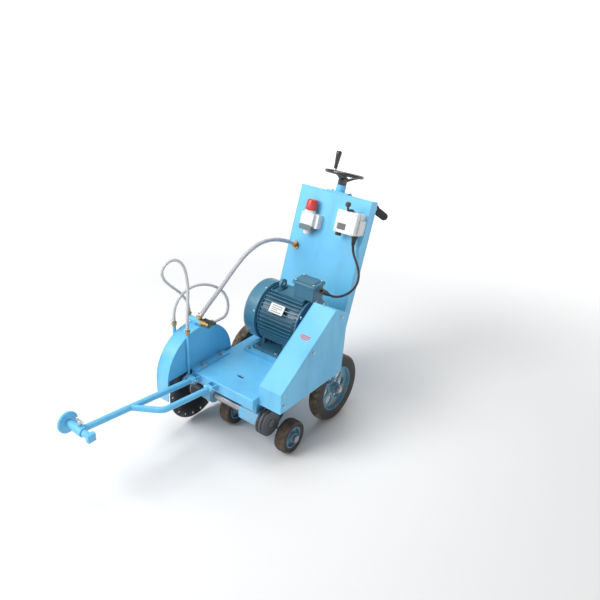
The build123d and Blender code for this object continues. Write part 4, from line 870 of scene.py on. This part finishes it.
def screws():
    """Screws of the covers, the motor and the boxes."""
    shells = []
    on_boss = COVER_X1 + 0.003
    for x, y, z in ((on_boss, 0.262, 0.502), (on_boss, 0.079, 0.422), (on_boss, -0.098, 0.267),
                    (COVER_X1, 0.262, 0.262), (COVER_X1, -0.098, 0.312)):
        shells.append(pan_head((x, y, z), SIDEWAYS, 0.0052, 0.0028))
    for turn in np.radians((20.0, 70.0, 110.0, 160.0)):
        out = np.array((0.0, np.cos(turn), np.sin(turn)))
        shells.append(pan_head(np.array((-0.0895, MOTOR_Y, MOTOR_Z)) + 0.1298 * out, out, 0.0045, 0.0026))
    for turn in np.radians((40.0, 80.0, 140.0, 220.0, 320.0)):
        spot = (0.118, MOTOR_Y + 0.104 * np.cos(turn), MOTOR_Z + 0.104 * np.sin(turn))
        shells.append(hex_head(spot, SIDEWAYS, 0.0058, 0.0048))
    for x in (0.044, 0.132):
        for y in (MOTOR_Y - 0.021, MOTOR_Y + 0.037):
            shells.append(pan_head((x, y, BOX_TOP + 0.012), UPRIGHT, 0.0048, 0.0026))
    for x in (-0.040, 0.040):
        for s in (-0.038, 0.038):
            spot = on_column(SWITCH_X + x, SWITCH_S + s, SWITCH_FACE)
            shells.append(pan_head(spot, OUT_COLUMN, 0.0042, 0.0020))
    for x in (-0.022, 0.022):
        for s in (-0.020, 0.020):
            spot = on_column(INLET_X + x, INLET_S + s, INLET_FACE)
            shells.append(pan_head(spot, OUT_COLUMN, 0.0032, 0.0018))
    for x in (-0.045, 0.045):
        shells.append(hex_head(on_column(x, 0.646, -0.036), UP_COLUMN, 0.0060, 0.0050))
    piece("cover_screws", "frame", "bright_zinc", *shells, slot="bright_zinc")


# ---------------------------------------------------------------- plates, boxes and fittings

def on_panel(width, height, corner, x, s, out, thick, edge):
    """Plate parallel to the column panel, the middle of its back at x, s and out in front."""
    return plate(outline(width, height, corner), on_column(x, s, out), SIDEWAYS, UP_COLUMN, thick, edge)


def rating_plate():
    """Blank rating plate on the motor's ribs, tipped towards the front, with plain bars on it."""
    tip = np.radians(38.0)
    out = np.array((0.0, -np.cos(tip), np.sin(tip)))
    climb = np.array((0.0, np.sin(tip), np.cos(tip)))
    spot = np.array((0.012, MOTOR_Y, MOTOR_Z)) + 0.1255 * out
    piece("motor_rating_plate", "frame", "label_white",
          plate(outline(0.070, 0.040, 0.003), spot, SIDEWAYS, climb, 0.0016, 0.0003),
          slot="white_plastic")
    bars = []
    for width, x, s in ((0.050, 0.0, 0.012), (0.050, 0.0, 0.003), (0.030, -0.010, -0.005),
                        (0.050, 0.0, -0.013)):
        foot = spot + 0.0015 * out + s * climb + x * SIDEWAYS
        bars.append(plate(outline(width, 0.0026, 0.0008), foot, SIDEWAYS, climb, 0.0004, 0.0001))
    rivets = [pan_head(spot + 0.0014 * out + x * SIDEWAYS + s * climb, out, 0.0018, 0.0010)
              for x in (-0.031, 0.031) for s in (-0.016, 0.016)]
    piece("rating_plate_lines", "frame", "label_dark", *bars, slot="black_plastic")
    piece("rating_plate_rivets", "frame", "bright_zinc", *rivets, slot="bright_zinc")


def box_plates():
    """Label, cover seam, raised panel and lever ring of the switch box; foot of the power inlet."""
    piece("switch_label", "frame", "label_dark",
          on_panel(0.040, 0.026, 0.002, SWITCH_X - 0.015, SWITCH_S - 0.020, SWITCH_FACE, 0.0009, 0.0002),
          slot="black_plastic")
    piece("switch_gasket", "frame", "grey_plastic",
          on_panel(0.0990, 0.0950, 0.0065, SWITCH_X, SWITCH_S, 0.0440, 0.0016, 0.0003),
          slot="black_plastic")
    piece("switch_upper_panel", "frame", "white_plastic",
          on_panel(0.066, 0.034, 0.003, SWITCH_X - 0.001, SWITCH_S + 0.016, 0.0697, 0.0014, 0.0004),
          slot="white_plastic")
    ring = [(0.0066, 0.0), (0.0150, 0.0), (0.0150, 0.0016), (0.0135, 0.0030), (0.0066, 0.0030),
            (0.0066, 0.0)]
    piece("switch_ring", "frame", "black_plastic",
          lathe(ring, on_column(SWITCH_X, SWITCH_S + 0.047, 0.038), UP_COLUMN, 32),
          slot="black_plastic")
    piece("inlet_base", "frame", "grey_plastic",
          on_panel(0.0632, 0.0240, 0.0070, INLET_X, INLET_S - 0.0375, 0.0, 0.0486, 0.0010),
          slot="black_plastic")


def guard_mark():
    """Three plain red bars on the belt guard's slope."""
    slope = COVER[2] - COVER[1]
    slope = np.array((0.0, *slope)) / np.linalg.norm(slope)
    over = np.cross(SIDEWAYS, slope)
    spot = np.array((0.2025, *(COVER[1] + 0.62 * (COVER[2] - COVER[1]))))
    bars = []
    for width, s in ((0.046, 0.007), (0.046, 0.0), (0.030, -0.007)):
        foot = spot + s * slope + 0.0001 * over
        bars.append(plate(outline(width, 0.0042, 0.0010), foot, SIDEWAYS, slope, 0.0005, 0.0001))
    piece("guard_mark", "frame", "label_red", *bars, slot="red_plastic")


def terminal_lid():
    """Raised middle of the terminal box's lid."""
    middle = (0.088, MOTOR_Y + 0.008, BOX_TOP + 0.0088)
    piece("terminal_lid_boss", "frame", "motor_paint",
          plate(outline(0.078, 0.052, 0.006), middle, SIDEWAYS, (0, 1, 0), 0.0028, 0.0009),
          slot="motor_paint")


def inlet_cap():
    """Ribbed cap: a hollow turned cup whose skirt radius ripples round the axis."""
    cup = [(0.0, 0.584), (0.0205, 0.584), (0.0210, 0.5435), (0.0243, 0.5432), (0.0250, 0.5450),
           (0.0250, 0.5720), (0.0238, 0.5745), (0.0238, 0.5800), (0.0215, 0.5865), (0.0160, 0.5898),
           (0.0, 0.5900)]

    def ribs(turn, along):
        skirt = (along < 0.573) & (along > 0.5433)
        return 1.0 - 0.03 * skirt * (0.5 + 0.5 * np.cos(30 * turn))

    knuckle = lathe(rounded_profile(0.0026, -0.009, 0.009, 0.0006), on_column(*HINGE_PIN), SIDEWAYS, 14)
    piece("ribbed_inlet_cap", "inlet_cap", "red_plastic",
          lathe(cup, on_column(HINGE_PIN[0], 0.0, 0.026), UP_COLUMN, 120, ribs), knuckle,
          replaces=("inlet_lid",), slot="red_plastic")


def clamp_screw():
    """Wing screw: a stud, a hub and two leaf-shaped wings."""
    over = on_fork(0.0, 1.0) - on_fork(0.0)
    foot = on_fork(FORK_LENGTH)
    turn = np.linspace(0.0, TAU, 24, endpoint=False)
    leaf = np.stack((0.0095 * np.cos(turn), 0.0068 * np.sin(turn) * (1 + 0.25 * np.cos(turn))), 1)
    tilt = np.radians(24.0)
    hub = [(0, 0.0265), (0.0075, 0.0265), (0.0072, 0.031), (0.0058, 0.038), (0.004, 0.0395), (0, 0.0395)]
    shells = [lathe(rounded_profile(0.0040, 0.0135, 0.037, 0.0008), foot, over, 20),
              lathe(hub, foot, over, 24)]
    for way in (-1.0, 1.0):
        first = way * np.cos(tilt) * SIDEWAYS + np.sin(tilt) * over
        second = np.cross(np.cross(first, over), first)
        second /= np.linalg.norm(second)
        thick = np.cross(first, second)
        spot = foot + 0.034 * over + 0.0125 * first - 0.0018 * thick
        shells.append(plate(leaf, spot, first, second, 0.0036, 0.0010))
    piece("wing_screw", "fork_clamp", "bright_zinc", *shells, replaces=("clamp_screw",), slot="bright_zinc")


def hose_ends():
    """Worm-drive bands, ferrule nuts and the cable's ribbed boots at the ends of the cords."""
    bands, nuts, boots = [], [], []

    def end_of(points, last):
        a, b = (points[-1], points[-2]) if last else (points[0], points[1])
        a, b = np.array(a) / 1000, np.array(b) / 1000
        return a, (b - a) / np.linalg.norm(b - a)

    for points, radius in ((SUPPLY, 0.0090), (FRONT_HOSE, 0.0060), (LOOP_HOSE, 0.0060)):
        for last in (False, True):
            spot, inward = end_of(points, last)
            band = [(radius + 0.0002, 0.0040), (radius + 0.0011, 0.0040), (radius + 0.0013, 0.0045),
                    (radius + 0.0013, 0.0115), (radius + 0.0011, 0.0120), (radius + 0.0002, 0.0120)]
            bands.append(lathe(band, spot, inward, 30))
            first, second = across_of(inward)
            drum = spot + 0.008 * inward + (radius + 0.0030) * first
            bands.append(lathe(rounded_profile(0.0030, -0.0055, 0.0055, 0.0006), drum, second, 14))
            bands.append(hex_head(drum + 0.0055 * second, second, 0.0030, 0.0024))
            nuts.append(hex_head(spot - 0.0090 * inward, inward, radius + 0.0040, 0.0075))
    piece("hose_bands", "frame", "bright_zinc", *bands, slot="bright_zinc")
    piece("ferrule_nuts", "frame", "brass", *nuts, slot="brass")
    along = np.linspace(0.0, 0.026, 40)
    taper = 0.0098 - 0.0036 * along / 0.026 + 0.0005 * np.clip(3 * np.cos(along * TAU / 0.0045), -1, 1)
    for last in (False, True):
        spot, inward = end_of(MOTOR_CABLE, last)
        boots.append(lathe([(0.0, -0.001), *zip(taper, along), (0.0051, 0.0262)], spot, inward, 28))
    piece("cable_boots", "frame", "black_plastic", *boots, slot="black_plastic")
    sleeve = plate(outline(0.040, 0.0190, 0.0085), (-0.129, -0.080, 0.4745), SIDEWAYS, (0, 1, 0),
                   0.0068, 0.0022)
    piece("valve_lever_sleeve", "water_lever", "grip_rubber", sleeve, slot="grip_rubber")


handwheel()
push_grips()
wheels()
blade_segments()
welds()
screws()
rating_plate()
box_plates()
guard_mark()
terminal_lid()
inlet_cap()
clamp_screw()
hose_ends()
